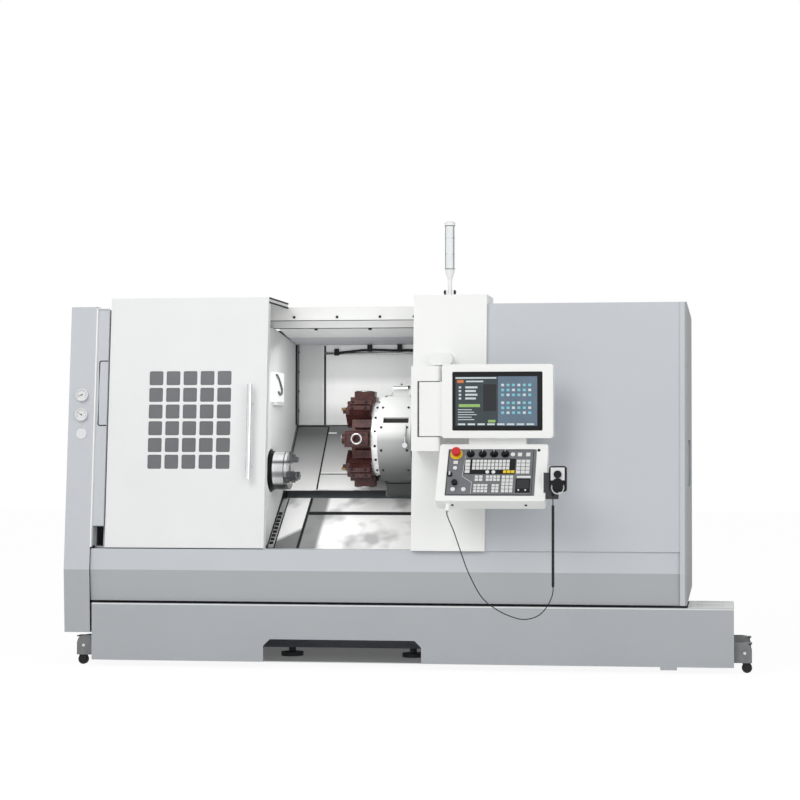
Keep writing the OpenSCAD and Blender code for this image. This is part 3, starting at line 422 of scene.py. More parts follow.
FINISHES = {
    white_paint: ["control_column", "pendant_bracket", "pendant_arm", "monitor_housing",
                  "operation_panel", "signal_pole"],
    door_paint: ["door_panel"],
    grey_paint: ["left_front_panel", "roof_panels", "right_front_cover", "rear_cover",
                 "electrical_cabinet"],
    side_finish(): ["right_end_cover"],
    end_finish(): ["left_end_cover", "lower_apron"],
    wall_paint: ["chamber_left_wall"],
    tank_paint: ["coolant_tank"],
    cast_iron: ["bed", "headstock", "saddle", "tailstock_body"],
    dark_paint: ["levelling_feet"],
    motor_paint: ["spindle_motor"],
    rubber: ["drive_belt", "caster_1", "caster_2", "caster_3", "caster_4"],
    wall_finish(): ["chamber_back_wall"],
    chute_finish(): ["chip_chute"],
    cover_finish(): ["way_cover_fixed", "way_cover_mid", "way_cover_sliding"],
    drum_finish(): ["turret_body"],
    chrome: ["pressure_gauges", "door_handle"],
    polished: ["spindle", "motor_pulley", "tailstock_quill"],
    black_steel: ["caster_brackets"],
    jaw_steel: ["jaw_1", "jaw_2", "jaw_3"],
    tool_brown: ["tool_holders"],
    black_plastic: ["monitor_screen", "knob_1", "knob_2", "knob_3", "knob_4", "mpg_box",
                    "mpg_wheel", "mpg_coil", "mpg_lead"],
    red_plastic: ["e_stop"],
    clear_lens: ["signal_lens"],
    window_pane: ["door_window"],
    chuck_finish(): ["chuck"],
    disc_finish(): ["turret_disc"],
    rail_finish(): ["door_rail"],
    key_finish(): ["key_panel"],
}


def dress():
    """Give every CAD node its finish."""
    for made, names in FINISHES.items():
        for name in names:
            node = frame["nodes"][name]
            node.data.materials.clear()
            node.data.materials.append(made.material)


# Pieces


def spoke(degrees, axis="Z"):
    """Unit vector at an angle about an axis."""
    a = math.radians(degrees)
    c, s = math.cos(a), math.sin(a)
    return Vector({"X": (0, c, s), "Y": (c, 0, s), "Z": (c, s, 0)}[axis])


def circle(r, n):
    """Points of a circle in the xy plane."""
    return [spoke(360 * k / n) * r for k in range(n)]


def strips(x0, y0, x1, y1, wide):
    """Two corners of each strip of a frame: below, above, left and right."""
    return ((x0, y0, x1, y0 + wide), (x0, y1 - wide, x1, y1),
            (x0, y0, x0 + wide, y1), (x1 - wide, y0, x1, y1))


def smooth_path(points, steps=6):
    """Points along a smooth curve through the given ones."""
    points = [Vector(p) for p in points]
    made = []
    for i in range(len(points) - 1):
        a, b = points[max(i - 1, 0)], points[i]
        c, d = points[i + 1], points[min(i + 2, len(points) - 1)]
        for k in range(steps):
            t = k / steps
            made.append(0.5 * (2 * b + (c - a) * t + (2 * a - 5 * b + 4 * c - d) * t ** 2
                               + (3 * b - a - 3 * c + d) * t ** 3))
    return made + [points[-1]]


class Shape:
    """Collects solids in millimetres, in one of the machine's frames, and makes one piece of them."""

    def __init__(self, place=Matrix()):
        self.mesh = bmesh.new()
        self.place = place

    def settle(self, made, matrix):
        bmesh.ops.transform(self.mesh, matrix=self.place @ matrix, verts=made["verts"])

    def box(self, low, high):
        low, high = Vector(low), Vector(high)
        made = bmesh.ops.create_cube(self.mesh, size=1)
        self.settle(made, Matrix.Translation((low + high) / 2) @ Matrix.Diagonal((*(high - low), 1)))
        return self

    def rod(self, start, end, r, r_end=None, n=24):
        start, end = Vector(start), Vector(end)
        turn = (end - start).to_track_quat("Z", "Y").to_matrix().to_4x4()
        made = bmesh.ops.create_cone(
            self.mesh, cap_ends=True, segments=n, radius1=r, radius2=r if r_end is None else r_end,
            depth=(end - start).length)
        self.settle(made, Matrix.Translation((start + end) / 2) @ turn)
        return self

    def wall(self, one, two):
        """Faces between two rings of as many points."""
        count = len(one)
        for k in range(count):
            n = (k + 1) % count
            self.mesh.faces.new((one[k], one[n], two[n], two[k]))

    def sweep(self, path, r, n=8, closed=False):
        """Round bar along a list of points."""
        path = [Vector(p) for p in path]
        count = len(path)
        rings = []
        for i, p in enumerate(path):
            ahead = path[(i + 1) % count] if closed else path[min(i + 1, count - 1)]
            behind = path[i - 1] if closed or i else path[0]
            turn = (ahead - behind).to_track_quat("Z", "Y")
            rings.append([self.mesh.verts.new(self.place @ (p + turn @ out)) for out in circle(r, n)])
        for one, two in zip(rings, rings[1:]):
            self.wall(one, two)
        if closed:
            self.wall(rings[-1], rings[0])
        else:
            self.mesh.faces.new(rings[0][::-1])
            self.mesh.faces.new(rings[-1])
        return self

    def prism(self, outline, y0, y1):
        """Flat plate: an outline of x and z, from y0 to y1."""
        rings = [[self.mesh.verts.new(self.place @ Vector((x, y, z))) for x, z in outline]
                 for y in (y0, y1)]
        self.mesh.faces.new(rings[0])
        self.mesh.faces.new(rings[1][::-1])
        self.wall(*rings)
        return self

    def ring(self, centre, axis, r, wire, n=32):
        """Round bar bent into a circle about an axis."""
        turn = Vector(axis).to_track_quat("Z", "Y")
        return self.sweep([Vector(centre) + turn @ out for out in circle(r, n)], wire, closed=True)

    def make(self, name, finish, body, smooth=False):
        data = bpy.data.meshes.new(name)
        bmesh.ops.recalc_face_normals(self.mesh, faces=self.mesh.faces)
        self.mesh.to_mesh(data)
        self.mesh.free()
        data.transform(TO_ROW)
        data.materials.append(finish.material)
        if smooth:
            data.shade_smooth()
        made = bpy.data.objects.new(name, data)
        bpy.context.scene.collection.objects.link(made)
        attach(made, body)
        return made


# Left end


def gauge_dials():
    """Dial, scale and needle of each pressure gauge."""
    face, marks = Shape(), Shape()
    low, high = cad("pressure_gauges")
    x = (low.x + high.x) / 2
    rim = 20
    scale, needle = Vector((0, 0, rim + 1.2)), Vector((0, 0, rim + 2))
    for z, reading in ((1635, 200), (1515, 150)):
        face.place = marks.place = facing(leaning(x, front_y(COLUMN_Y, z), z))
        face.rod((0, 0, rim), (0, 0, rim + 1), 33, n=40)
        for turn in range(-30, 211, 20):
            out = spoke(turn)
            marks.rod(out * 24 + scale, out * 30 + scale, 0.9, n=6)
        tip = spoke(reading)
        marks.rod(tip * -8 + needle, tip * 26 + needle, 1.6, 0.6, n=6)
        marks.rod((0, 0, rim + 1), (0, 0, rim + 3), 4, n=16)
    face.make("gauge_dials", light_plastic, "machine")
    marks.make("gauge_marks", black_plastic, "machine")


def end_infill():
    """Sheet between the left end and the door, white strips that paint a highlight along its edge and
    top, and the hatch's rubber line on it.
    """
    place = leaning(0, 75, LEDGE_Z - LEDGE_DROP)
    end = cad("left_end_cover")[1]
    right = cad("door_panel")[0].x - 8
    top = (end.z - LEDGE_Z) / math.cos(LEAN) - 22
    front, foot = -88, 131
    sheet = Shape(place)
    sheet.box((end.x - 1, front, foot), (right, 1, top))
    sheet.box((end.x - 0.5, front + 10, 14), (end.x + 4, 0.5, foot + 1))
    sheet.make("end_infill", grey_paint, "machine")
    # Painted highlight: white strips along the sheet's edge and top.
    edge = Shape(place)
    edge.box((end.x, front - 15, 2), (end.x + 8, front + 12, top))
    edge.box((end.x, front - 15, top), (right, front + 2, top + 5))
    edge.make("end_edge_highlight", white_paint, "machine")
    hatch_left, hatch_low, hatch_top, r = end.x + 24, 741, 1136, 12
    path = [(right, front, hatch_top)]
    for z, start in ((hatch_top - r, 90), (hatch_low + r, 180)):
        for turn in range(start, start + 91, 15):
            out = spoke(turn) * r
            path.append((hatch_left + r + out.x, front, z + out.y))
    path.append((right, front, hatch_low))
    Shape(place).sweep(path, 3.5).make("hatch_gasket", rubber, "machine", smooth=True)


# Door


def door_seals_and_shadow():
    """Rubber edging round the right end of the door's roof, and a dark strip along the door's foot for
    its edge line and the painted shadow under the door.
    """
    low, high = cad("door_panel")
    made = Shape()
    front = (high.z - low.z) * math.tan(LEAN)
    for z in (high.z - 7, high.z - 34):
        made.box((high.x - 2, front + 20, z), (high.x + 5, high.y - 4, z + 9))
    # Dark strip along the door's foot: its edge line and a painted shadow under the door.
    made.place = leaning(0, 0, low.z)
    made.box((low.x + 1, -1.5, 0.5), (high.x - 1, 3, 6))
    made.make("door_seals_and_shadow", rubber, "door")


def window_frame():
    """Gasket round the back of the window."""
    low, high = cad("door_window")
    made = Shape(leaning(0, 0, LEDGE_Z - LEDGE_DROP))
    for x, z, x_end, z_end in strips(low.x, 454, high.x, 1126, 14):
        made.box((x, 13, z), (x_end, 20, z_end))
    made.make("window_gasket", rubber, "door")


# Tank


# Side view of a caster's cheek plate: out from the tank's end, and up
GUSSET = ((-1, 180), (50, 180), (80, 176), (96, 160), (104, 136), (104, 61), (-1, 61))
GUSSET_BOLT = (62, 118)


def caster_gussets():
    """Cheek plates that carry each caster on the tank's end, with their bolts."""
    tank = cad("coolant_tank")
    wheels = [cad(f"caster_{k + 1}") for k in range(4)]
    half = min((low.y + high.y) / 2 for low, high in wheels) - cad("caster_brackets")[0].y
    cheeks, bolts = Shape(), Shape()
    for low, high in wheels:
        middle = (low + high) / 2
        end, side = (tank[0].x, -1) if middle.x < MID_X else (tank[1].x, 1)
        outline = [(end + side * out, z) for out, z in GUSSET]
        x, z = end + side * GUSSET_BOLT[0], GUSSET_BOLT[1]
        for face in (-1, 1):
            y = middle.y + face * half
            cheeks.prism(outline, y - 1 * face, y + 5 * face)
            bolts.rod((x, y + 4 * face, z), (x, y + 7 * face, z), 9, n=16)
    cheeks.make("caster_gussets", wheel_grey, "tank")
    bolts.make("gusset_bolts", light_plastic, "tank")


def tank_lid():
    """Pale lid with pull bars on the end of the tank that stands out, and a painted highlight along the
    tank's top edge.
    """
    low, high = cad("coolant_tank")
    casing = cad("right_end_cover")[1].x
    lid, edge = Shape(), Shape()
    lid.box((casing + 4, low.y + 4, high.z - 5), (high.x - 4, high.y - 4, high.z + 2))
    left, right, foot, top = casing + 60, high.x - 60, high.z + 1, high.z + 16
    for y in (low.y + 160, high.y - 260):
        lid.sweep([(left, y, foot), (left, y, top), (right, y, top), (right, y, foot)], 4)
    lid.make("tank_lid", light_plastic, "tank")
    # Painted highlight: pale strips along the tank's top front and left edges.
    z0, z1 = high.z - 10, high.z - 3
    edge.box((low.x + 2, low.y - 1, z0), (high.x - 2, low.y + 1, z1))
    edge.box((low.x - 1, low.y + 1, z0), (low.x + 1, high.y - 2, z1))
    edge.make("tank_edge_highlight", light_plastic, "tank")


# Rail and chamber


def header_bolts():
    """Bolts and stops of the door's header, and the dark lines along its rail."""
    low, high = cad("door_rail")
    made, lines = Shape(), Shape()
    front, bolt_z = low.y + 4, high.z - 64
    for x in (300, 620, 960, 1240, 1516, 1791, 2008):
        made.rod((x, front, bolt_z), (x, front - 6, bolt_z), 9, n=6)
    for x in (1379, 1726, 2060):
        made.box((x - 9, low.y + 2, low.z - 14), (x + 9, low.y + 30, low.z))
    made.make("header_bolts", black_steel, "machine")
    left, right, joint = low.x + 2, high.x - 2, low.z + RAIL_H
    lines.box((left, low.y + 2, joint), (right, low.y + 5, joint + 4))
    lines.box((left, low.y + 2, low.z - 3), (right, low.y + 30, low.z + 0.5))
    lines.make("rail_lines", rubber, "machine")


def signal_fittings():
    """Ribs, rings and cap of the signal lamp, and the clamp at its pole's foot."""
    low, high = cad("signal_lens")
    centre = (low + high) / 2
    x, y = centre.x, centre.y
    r, wire = (high.x - low.x) / 2, 2.2
    ribs, cap, clamp = Shape(), Shape(), Shape()
    for turn in (35, 145, 215, 325):
        out = Vector((x, y, 0)) + spoke(turn) * r
        ribs.rod(out + Vector((0, 0, low.z + 16)), out + Vector((0, 0, high.z - 26)), wire, n=8)
    for z in (low.z + 12, high.z - 27):
        ribs.ring((x, y, z), UP, r, wire)
    shoulder = high.z - 9
    cap.rod((x, y, high.z - 25), (x, y, shoulder), r + 3, n=40)
    cap.rod((x, y, shoulder), (x, y, high.z), r + 3, r - 8, n=40)
    foot = cad("signal_pole")[0].z + 7
    for side in (-1, 1):
        cheek = x + 29 * side
        clamp.box((cheek - 5, y - 16, foot), (cheek + 5, y + 16, foot + 30))
        clamp.rod((cheek, y, foot + 18), (cheek + 9 * side, y, foot + 18), 6, n=6)
    ribs.make("lens_ribs", seal_grey, "machine")
    cap.make("lamp_cap", white_paint, "machine")
    clamp.make("pole_clamp", black_steel, "machine")


def wall_fittings():
    """Cup plate with its curled hose on the left wall, and the seals along the wall's edges."""
    face = cad("chamber_left_wall")[1].x
    wall = face - 22
    plate = Shape()
    plate.box((wall, 590, 1605), (face + 4, 852, 1791))
    for z in (1610, 1780):
        plate.box((face + 3, 600, z), (face + 6, 846, z + 6))
    plate.make("cup_plate", white_paint, "machine")
    curl = ((600, 1774), (650, 1762), (700, 1735), (742, 1704), (764, 1682), (756, 1662),
            (722, 1652), (690, 1658), (660, 1668))
    path = smooth_path([(face + 10, y, z) for y, z in curl])
    Shape().sweep(path, 7).make("hose_curl", seal_grey, "machine", smooth=True)
    corner, bolts = Shape(), Shape()
    low, high = cad("chamber_back_wall")
    back = low.y
    corner.box((wall, back - 40, low.z), (wall + 16, back, high.z))
    bolts.box((wall, back - 46, low.z), (wall + 10, back - 40, high.z))
    for z in range(1560, 1960, 130):
        bolts.rod((wall + 14, back - 20, z), (wall + 20, back - 20, z), 9, n=6)
    corner.place = bolts.place = on_slant()
    foot, top = 170, 742
    corner.box((wall, foot, -2), (wall + 9, top, 12))
    bolts.box((wall + 9, foot, -2), (wall + 12, top, 8))
    corner.make("corner_seals", seal_grey, "machine")
    bolts.make("corner_bolts", rubber, "machine")


def roof_painted_light():
    """Pale sheet under the front half of the chamber's roof, painted light that brightens its shaded
    underside.
    """
    low, high = cad("chamber_back_wall")
    front = Vector((0, 735, 2083))
    # Painted light on the roof's shaded underside.
    made = Shape(on_slope(front, front + Vector((0, 650, -95))))
    made.box((low.x + 8, 20, -3), (high.x - 450, 330, 1))
    made.make("roof_painted_light", light_plastic, "machine")


def sheet_joints():
    """Joints of the chamber's sheets, the chute's lip and toothed edge, and the cover's wipers."""
    low, high = cad("chamber_back_wall")
    chute = cad("chip_chute")[1]
    foot, top = Vector((0, 480, 690)), Vector((0, chute.y, chute.z))
    length = (top - foot).length
    left, end = low.x, length - 6
    joint = Shape()
    joint.box((JOINT_X, low.y - 6, low.z), (JOINT_X + 12, low.y, high.z - 4))
    joint.place = on_slope(foot, top)
    joint.box((JOINT_X, 0, -1), (JOINT_X + 16, end, 4))
    joint.box((JOINT_X + 16, length * 0.66, -1), (chute.x - 4, length * 0.70, 9))
    joint.box((left + 40, 0, -1), (left + 46, end, 6))
    for u in range(40, 361, 40):
        joint.box((left + 8, u, 4), (left + 30, u + 20, 9))
    joint.make("sheet_joints", rubber, "machine")
    rack = Shape(on_slope(foot, top))
    rack.box((left + 2, 0, -1), (left + 40, end, 5))
    rack.make("chute_edge", polished, "machine")
    wipers, bright = Shape(on_slant()), Shape(on_slant())
    x, x_end = (corner.x for corner in cad("way_cover_sliding"))
    wipers.box((x, 300, -1), (x_end, 305, 2.5))
    wipers.box((x, 165, -1), (x + 9, 740, 4))
    bright.box((x + 12, 676, -1), (x + 66, 686, 3))
    bright.box((x + 12, 307, -1), (x_end, 318, 2))
    wipers.make("cover_wipers", rubber, "carriage")
    bright.make("cover_strips", light_plastic, "carriage")


def pipe_run():
    """Coolant pipe with its clips and hose along the top of the back wall."""
    low, high = cad("chamber_back_wall")
    y, pipe_z = low.y - 14, 1942
    pipe, clips = Shape(), Shape()
    pipe.rod((JOINT_X + 10, y, pipe_z), (high.x - 4, y, pipe_z), 9, n=16)
    for x, z in ((1386, pipe_z), (1609, 1968), (1810, 1968)):
        clips.box((x - 14, y - 14, z - 14), (x + 14, low.y, z + 30))
    hose = ((1386, 6, 1945), (1470, 10, 1952), (1560, 10, 1962), (1640, 8, 1964), (1760, 8, 1960),
            (1900, 8, 1960), (2060, 8, 1962))
    clips.sweep([(x, y - out, z) for x, out, z in hose], 7)
    pipe.make("coolant_pipe", chrome, "machine", smooth=True)
    clips.make("pipe_clips", rubber, "machine")


# Chuck and turret


STATIONS = 8
HOLDER_TOP = 301


def on_turret(station=0.0):
    """On the turret's axis: x along it, z out through a station."""
    turn = Matrix.Rotation(math.radians(360 / STATIONS * station), 4, "X")
    return on_slant() @ Matrix.Translation((0, TURRET_U, SWING_R)) @ turn


def jaw_screws():
    """Two cap screws on each stepped chuck jaw, and a grip face on each step."""
    high = cad("jaw_1")[1]
    front, outer = high.x, high.z - AXIS.z
    for k in range(3):
        turn = Matrix.Rotation(math.radians(120 * k), 4, "X")
        made = Shape(Matrix.Translation((0, AXIS.y, AXIS.z)) @ turn)
        for r in (68, outer - 48):
            made.rod((front - 1, 0, r), (front + 3, 0, r), 10, n=16)
        for x, z in ((front - 35, outer), (front - 18, outer - 17), (front, outer - 34)):
            made.box((x - 14, -8, z - 1), (x - 4, 8, z + 1.5))
        made.make(f"jaw_screws_{k + 1}", polished, f"jaw_{k + 1}")


def holder_fittings():
    """Screws, inserts and socket rings of the tool holders, and the bolts of the turret's disc."""
    left = cad("tool_holders")[0].x
    screws, tips, rings = Shape(), Shape(), Shape()
    for k in range(STATIONS):
        screws.place = tips.place = rings.place = on_turret(k)
        for x in (left + 66, left + 150):
            for y in (-26, 26):
                screws.rod((x, y, HOLDER_TOP - 1), (x, y, HOLDER_TOP + 4), 9, n=12)
        if k % 2 == 0:
            tips.box((left - 8, -9, 262), (left + 16, 9, 268))
        else:
            rings.ring((left + 105.5, 0, HOLDER_TOP), UP, 31, 6)
            rings.ring((left, 0, 207.5), RIGHT, 29, 4)
    screws.make("holder_screws", black_steel, "turret")
    tips.make("cutting_inserts", carbide, "turret")
    rings.make("socket_rings", chrome, "turret", smooth=True)
    bolts = Shape(on_turret())
    disc = Vector((cad("turret_disc")[1].x - 22, 0, 0))
    for k in range(16):
        out = spoke(22.5 * k + 11, "X")
        bolts.rod(disc + out * 234, disc + out * 239, 8, n=12)
    bolts.make("disc_bolts", black_steel, "turret")


def housing_fittings():
    """Bolts, slot and coolant valve of the turret's housing."""
    upright = Matrix.Translation(on_turret().translation)
    front = cad("turret_body")[0].x
    bolts = Shape(upright)
    for k in range(12):
        out = spoke(30 * k + 15, "X")
        for x in (front + 24, front + 186):
            foot = Vector((x, 0, 0))
            bolts.rod(foot + out * 275, foot + out * 279, 8, n=12)
    bolts.make("housing_bolts", black_steel, "cross_slide")
    slot = Shape(upright @ Matrix.Rotation(math.radians(65), 4, "X"))
    slot.box((front + 35, -18, 250), (front + 193, 18, 256))
    slot.make("drum_slot", rubber, "cross_slide")
    valve = Shape(upright)
    for x in (front + 44, front + 184):
        valve.rod((x, -64, 292), (x, -48, 292), 17, n=20)
    valve.rod((front + 68, -57, 320), (front + 160, -57, 320), 13, n=20)
    valve.rod((front + 114, -40, 336), (front + 114, -40, 350), 12, n=6)
    lever = front + 178
    valve.rod((lever, -262, 82), (lever, -292, 20), 6, n=12)
    valve.rod((lever, -292, 20), (lever, -296, -36), 6, n=12)
    valve.rod((lever, -286, -40), (lever, -306, -40), 16, n=20)
    valve.make("coolant_valve", chrome, "cross_slide")


def wedge_clamps():
    """Stepped clamps between the tool holders."""
    low, high = cad("tool_holders")
    right = high.x - 1
    made = Shape()
    for k in range(STATIONS):
        made.place = on_turret(k + 0.5)
        made.box((low.x + 62, -38, 160), (right, 38, 226))
        made.box((low.x + 84, -26, 226), (right, 26, 250))
    made.make("wedge_clamps", tool_brown, "turret")


# Pendant


def bracket_lines():
    """Dark joints round the pendant arm in its fork."""
    left, right, low, top = 2166, 2296, 1383, 1699
    front, back = -213, -210
    made = Shape()
    made.box((left, front, low - 1), (left + 4, back, top + 1))
    made.box((left, front, top + 1), (right, back, top + 5))
    made.box((left, front, low - 5), (right, back, low - 1))
    made.make("bracket_lines", rubber, "machine")


def screen_fields():
    """Plain fields on the screen: a dark list at the left, a paler block of rows at the right."""
    low, high = cad("monitor_screen")
    y = low.y
    left, foot = low.x + 18, low.z + 27
    w, h = high.x - low.x - 48, high.z - low.z - 54
    shapes = {}

    def field(finish, a, b, c, d, lift=0.9):
        """From a to c across and from b to d up, as shares of the glass."""
        shape = shapes.setdefault(finish, Shape())
        shape.box((left + a * w, y - lift, foot + b * h), (left + c * w, y + 0.1, foot + d * h))

    field(screen_dark, 0, 0, 0.52, 1, 0.6)
    field(screen_blue, 0.52, 0, 1, 1, 0.6)
    field(screen_pale, 0.0, 0.955, 0.50, 0.985)
    field(screen_orange, 0.02, 0.87, 0.10, 0.93)
    field(screen_pale, 0.13, 0.885, 0.34, 0.915)
    for k in range(4):
        drop = 0.075 * k
        field(screen_pale, 0.04, 0.76 - drop, 0.07, 0.80 - drop)
        field(screen_pale, 0.12, 0.76 - drop, 0.27 - 0.02 * (k % 2), 0.80 - drop)
    field(screen_green, 0.04, 0.38, 0.30, 0.44)
    field(screen_black, 0.34, 0.30, 0.50, 0.84)
    for k in range(5):
        drop = 0.05 * k
        field(screen_pale, 0.03, 0.32 - drop, 0.20 + 0.03 * (k % 3), 0.335 - drop)
    field(screen_green, 0.40, 0.07, 0.49, 0.12)
    for row in range(3):
        drop = 0.10 * row
        for k in range(6):
            x = 0.56 + 0.066 * k
            lit = screen_cyan if (k + row) % 3 else screen_pale
            for z in (0.80, 0.44):
                field(lit, x, z - drop, x + 0.036, z + 0.05 - drop)
    for k in range(8):
        field(screen_pale, 0.03 + 0.12 * k, 0.015, 0.12 + 0.12 * k, 0.05)
    for finish, shape in shapes.items():
        shape.make(finish.material.name + "_fields", finish, "pendant")


def panel_fittings():
    """Stop ring, knob marks, keys, lamps, switches, display and screws of the operation panel."""
    face = on_panel()
    ring = Shape(face).rod((101, 324, 1), (101, 324, 3.5), 36, n=40)
    ring.make("stop_ring", yellow_plastic, "pendant")
    for k, x in enumerate((184, 254, 321, 386), 1):
        mark = Shape(face).box((x - 1.5, 327, 24.3), (x + 1.5, 342, 25))
        mark.make(f"knob_mark_{k}", light_plastic, f"knob_{k}")
    plate = face @ Matrix.Translation((*KEY_PLATE, 0))
    yellow, dark, light, glass = (Shape(plate) for _ in range(4))
    for u in (329, 352, 375):
        yellow.box((u, 154, 1), (u + 19, 172, 7))
    for u, v, r in ((379, 283, 13), (48, 188, 12), (238, 160, 11), (273, 160, 11), (45, 40, 13),
                    (107, 40, 13), (424, 35, 5), (464, 35, 5)):
        light.rod((u, v, 1), (u, v, 9), r)
    for u, v, w, h in ((408, 272, 24, 24), (456, 272, 24, 24), (36, 218, 26, 20), (411, 120, 79, 13)):
        light.box((u, v, 1), (u + w, v + h, 7))
    line = ((104, 278), (93, 132), (150, 92), (149, 13))
    for start, end in zip(line, line[1:]):
        light.rod((*start, 2), (*end, 2), 1.3, n=6)
    light.box((16, 134, 12), (24, 156, 20))
    dark.rod((20, 145, 1), (20, 145, 12), 15)
    dark.rod((52, 86, 1), (52, 86, 18), 17)
    dark.box((405, 20, 1), (490, 116, 4))
    dark.box((100, 148, 1), (398, 256, 2.9))
    for u, v, u_end, v_end in strips(4, 4, 500, 321, 3):
        dark.box((u, v, 1), (u_end, v_end, 2.9))
    dark.place = face
    dark.rod((580, 353, -1), (580, 353, 2), 9, n=20)
    for x in (96, 520):
        dark.rod((x, 0.5, -42), (x, -2, -42), 8, n=16)
    glass.box((412, 48, 4), (483, 108, 4.6))
    yellow.make("yellow_keys", yellow_plastic, "pendant")
    dark.make("panel_switches", black_plastic, "pendant")
    light.make("panel_lamps", light_plastic, "pendant")
    glass.make("panel_display", screen_black, "pendant")


def pulse_face():
    """Face plate, scale, dial and holder of the hand-pulse unit."""
    low, high = cad("mpg_box")
    x = sum(corner.x for corner in cad("mpg_wheel")) / 2
    y = low.y
    plate = Shape().box((low.x + 10, y - 0.8, low.z + 88), (high.x - 10, y + 0.2, high.z - 8))
    plate.make("pulse_plate", light_plastic, "pendant")
    scale, marks = Shape(), 40
    hub = Vector((x, y - 1, low.z + 46))
    for k in range(marks):
        out = spoke(360 * k / marks, "Y")
        scale.rod(hub + out * 34, hub + out * 39, 1.2, n=6)
    scale.ring(hub, BACK, 33, 2)
    scale.make("pulse_scale", light_plastic, "pendant")
    dial_z = low.z + 122
    dial = Shape().rod((x, y, dial_z), (x, y - 12, dial_z), 22, n=28)
    dial.make("pulse_dials", black_plastic, "pendant")
    holder = Shape()
    left, back = PANEL_ORIGIN[0] + 621, high.y
    holder.box((left, back - 1, low.z - 20), (x, back + 12, high.z - 38))
    for z in (low.z + 10, low.z + 80):
        holder.rod((left + 15, back, z), (left + 15, back - 4, z), 6, n=6)
    holder.make("pulse_holder", holder_paint, "pendant")


def pulse_lead():
    """Curly lead of the hand-pulse unit: out of the box, the coil, then the loop to the panel's gland."""
    top, low = Vector(COIL_TOP), Vector(COIL_LOW)
    r = (COIL_D - LEAD_D) / 2
    count = COIL_TURNS * COIL_STEPS
    path = [Vector(LEAD_TOP), (Vector(LEAD_TOP) + top) / 2]
    for i in range(count + 1):
        turns = COIL_TURNS * i / count
        reach = r * min(1, turns / COIL_EASE, (COIL_TURNS - turns) / COIL_EASE)
        path.append(top.lerp(low, i / count) + spoke(360 * turns) * reach)
    path += smooth_path(LEAD_ROUTE)[1:]
    data = bpy.data.curves.new("pulse_lead", "CURVE")
    data.dimensions = "3D"
    spline = data.splines.new("POLY")
    spline.points.add(len(path) - 1)
    for point, p in zip(spline.points, path):
        point.co = (*(TO_ROW @ p), 1)
    data.bevel_depth = LEAD_D / 2 / PER_METRE
    data.bevel_resolution = 2
    data.use_fill_caps = True
    data.materials.append(rubber.material)
    made = bpy.data.objects.new("pulse_lead", data)
    bpy.context.scene.collection.objects.link(made)
    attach(made, "pendant")
    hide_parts("mpg_coil", "mpg_lead")


# Stage


FLOOR_HALF = 30.0
FLOOR_GLOW = 1.05
GLOW_OPEN, GLOW_UNDER = 0.88, 0.10  # share of glow round the machine and under it
UNDER_X, UNDER_BACK, UNDER_IN = 1.9, 1.1, 0.36  # shade's half length, its back, its front from the tank's
WORLD_LEVEL = 0.55


def camera():
    """The photo's camera, as fitted to the machine's corners."""
    data = bpy.data.cameras.new("photo_camera")
    data.sensor_width = 36
    data.lens = 93.4747
    data.shift_x = -0.075
    data.clip_end = 100
    made = bpy.data.objects.new("photo_camera", data)
    made.location = (1.92545, -12.88380, 1.31982)
    made.rotation_euler = (QUARTER + math.radians(1.29409), 0, math.radians(7.34111))
    bpy.context.scene.collection.objects.link(made)
    bpy.context.scene.camera = made


def seen_rays(nodes, links):
    """1 on rays that show the background: from the camera, off metal and through glass."""
    path = nodes.new("ShaderNodeLightPath")
    total = path.outputs["Is Camera Ray"]
    for name in ("Is Glossy Ray", "Is Transmission Ray"):
        made = nodes.new("ShaderNodeMath")
        made.operation = "MAXIMUM"
        links.new(total, made.inputs[0])
        links.new(path.outputs[name], made.inputs[1])
        total = made.outputs[0]
    return total


def world():
    """White background, and a weaker white light all round."""
    made = bpy.data.worlds.new("studio")
    made.use_nodes = True
    bpy.context.scene.world = made
    nodes, links = made.node_tree.nodes, made.node_tree.links
    light = nodes["Background"]
    light.inputs["Color"].default_value = (1, 1, 1, 1)
    reach = nodes.new("ShaderNodeMapRange")
    reach.inputs["To Min"].default_value = WORLD_LEVEL
    reach.inputs["To Max"].default_value = 1.0
    links.new(seen_rays(nodes, links), reach.inputs["Value"])
    links.new(reach.outputs["Result"], light.inputs["Strength"])


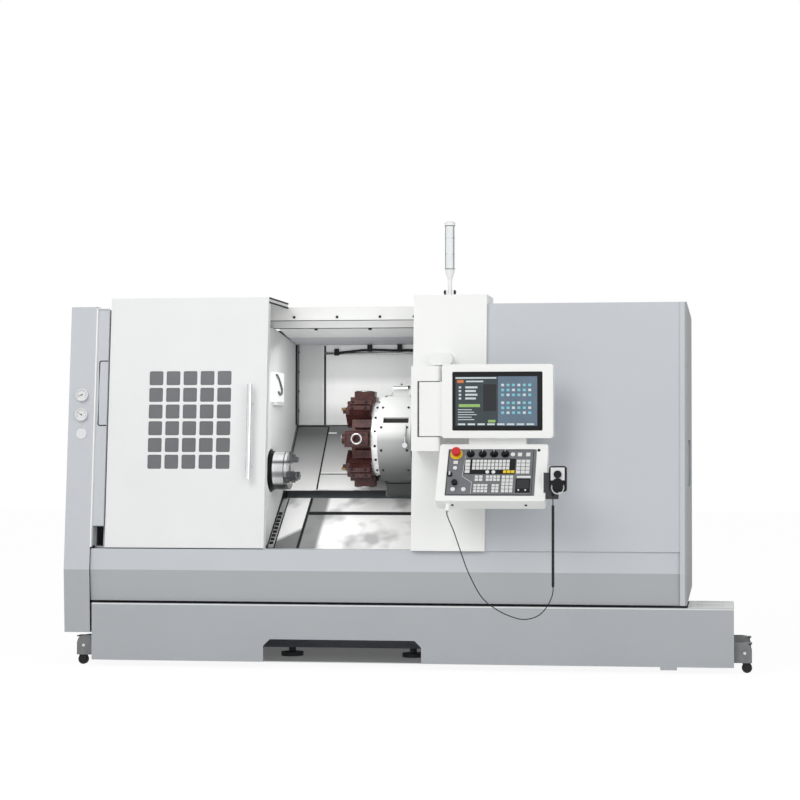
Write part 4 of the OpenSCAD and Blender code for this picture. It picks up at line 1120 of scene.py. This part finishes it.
def floor():
    """Pale floor that glows to white round the machine and keeps the shade under it."""
    data = bpy.data.meshes.new("floor")
    half = FLOOR_HALF
    corners = [(-half, -half, 0), (half, -half, 0), (half, half, 0), (-half, half, 0)]
    data.from_pydata(corners, [], [(0, 1, 2, 3)])
    made = bpy.data.objects.new("floor", data)
    bpy.context.scene.collection.objects.link(made)
    pale = Finish("pale_floor", (0.86, 0.86, 0.86), 0.9, vary=0.0)
    nodes, links = pale.nodes, pale.links
    glow = nodes.new("ShaderNodeEmission")
    glow.inputs["Strength"].default_value = FLOOR_GLOW
    front = (cad("coolant_tank")[0].y - MID_Y) / PER_METRE + UNDER_IN
    under = 1.0
    for direction, limit in ((RIGHT, -UNDER_X), (LEFT, -UNDER_X), (BACK, front), (FRONT, -UNDER_BACK)):
        under = pale.times(pale.beyond(direction, limit, 0.04), under)
    share = pale.times(seen_rays(nodes, links), pale.ramp(under, 0, 1, GLOW_OPEN, GLOW_UNDER))
    blend = nodes.new("ShaderNodeMixShader")
    links.new(share, blend.inputs[0])
    links.new(pale.shader.outputs[0], blend.inputs[1])
    links.new(glow.outputs[0], blend.inputs[2])
    links.new(blend.outputs[0], nodes["Material Output"].inputs["Surface"])
    data.materials.append(pale.material)


def lamp(name, place, target, size, power, height=None):
    """Soft lamp; one with a height of its own is an oblong light inside the chamber."""
    data = bpy.data.lights.new(name, "AREA")
    data.size = size
    data.energy = power
    made = bpy.data.objects.new(name, data)
    if height is not None:
        data.shape = "RECTANGLE"
        data.size_y = height
        made.visible_camera = False
        made.visible_glossy = False
    made.location = place
    made.rotation_euler = (Vector(target) - Vector(place)).to_track_quat("-Z", "Y").to_euler()
    bpy.context.scene.collection.objects.link(made)


def studio():
    """Camera, background, floor and lamps; the chamber's lamps stand behind the closed door."""
    bpy.context.scene.view_settings.view_transform = "Standard"
    camera()
    world()
    floor()
    lamp("key", (-3.0, -8.5, 6.5), (0, 0, 1.2), 5.0, 290)
    lamp("fill", (5.5, -9.0, 4.0), (0.5, 0, 1.2), 5.0, 150)
    lamp("chamber_front", (-0.50, -0.40, 1.42), (-0.42, 0.6, 1.32), 0.8, 4.8, 0.9)
    lamp("chamber_top", (-0.45, -0.05, 2.0), (-0.35, 0.2, 1.0), 0.7, 3.0, 0.15)


studio()
dress()
pulse_lead()
gauge_dials()
end_infill()
door_seals_and_shadow()
window_frame()
caster_gussets()
tank_lid()
header_bolts()
signal_fittings()
wall_fittings()
roof_painted_light()
sheet_joints()
pipe_run()
jaw_screws()
holder_fittings()
housing_fittings()
wedge_clamps()
bracket_lines()
screen_fields()
panel_fittings()
pulse_face()
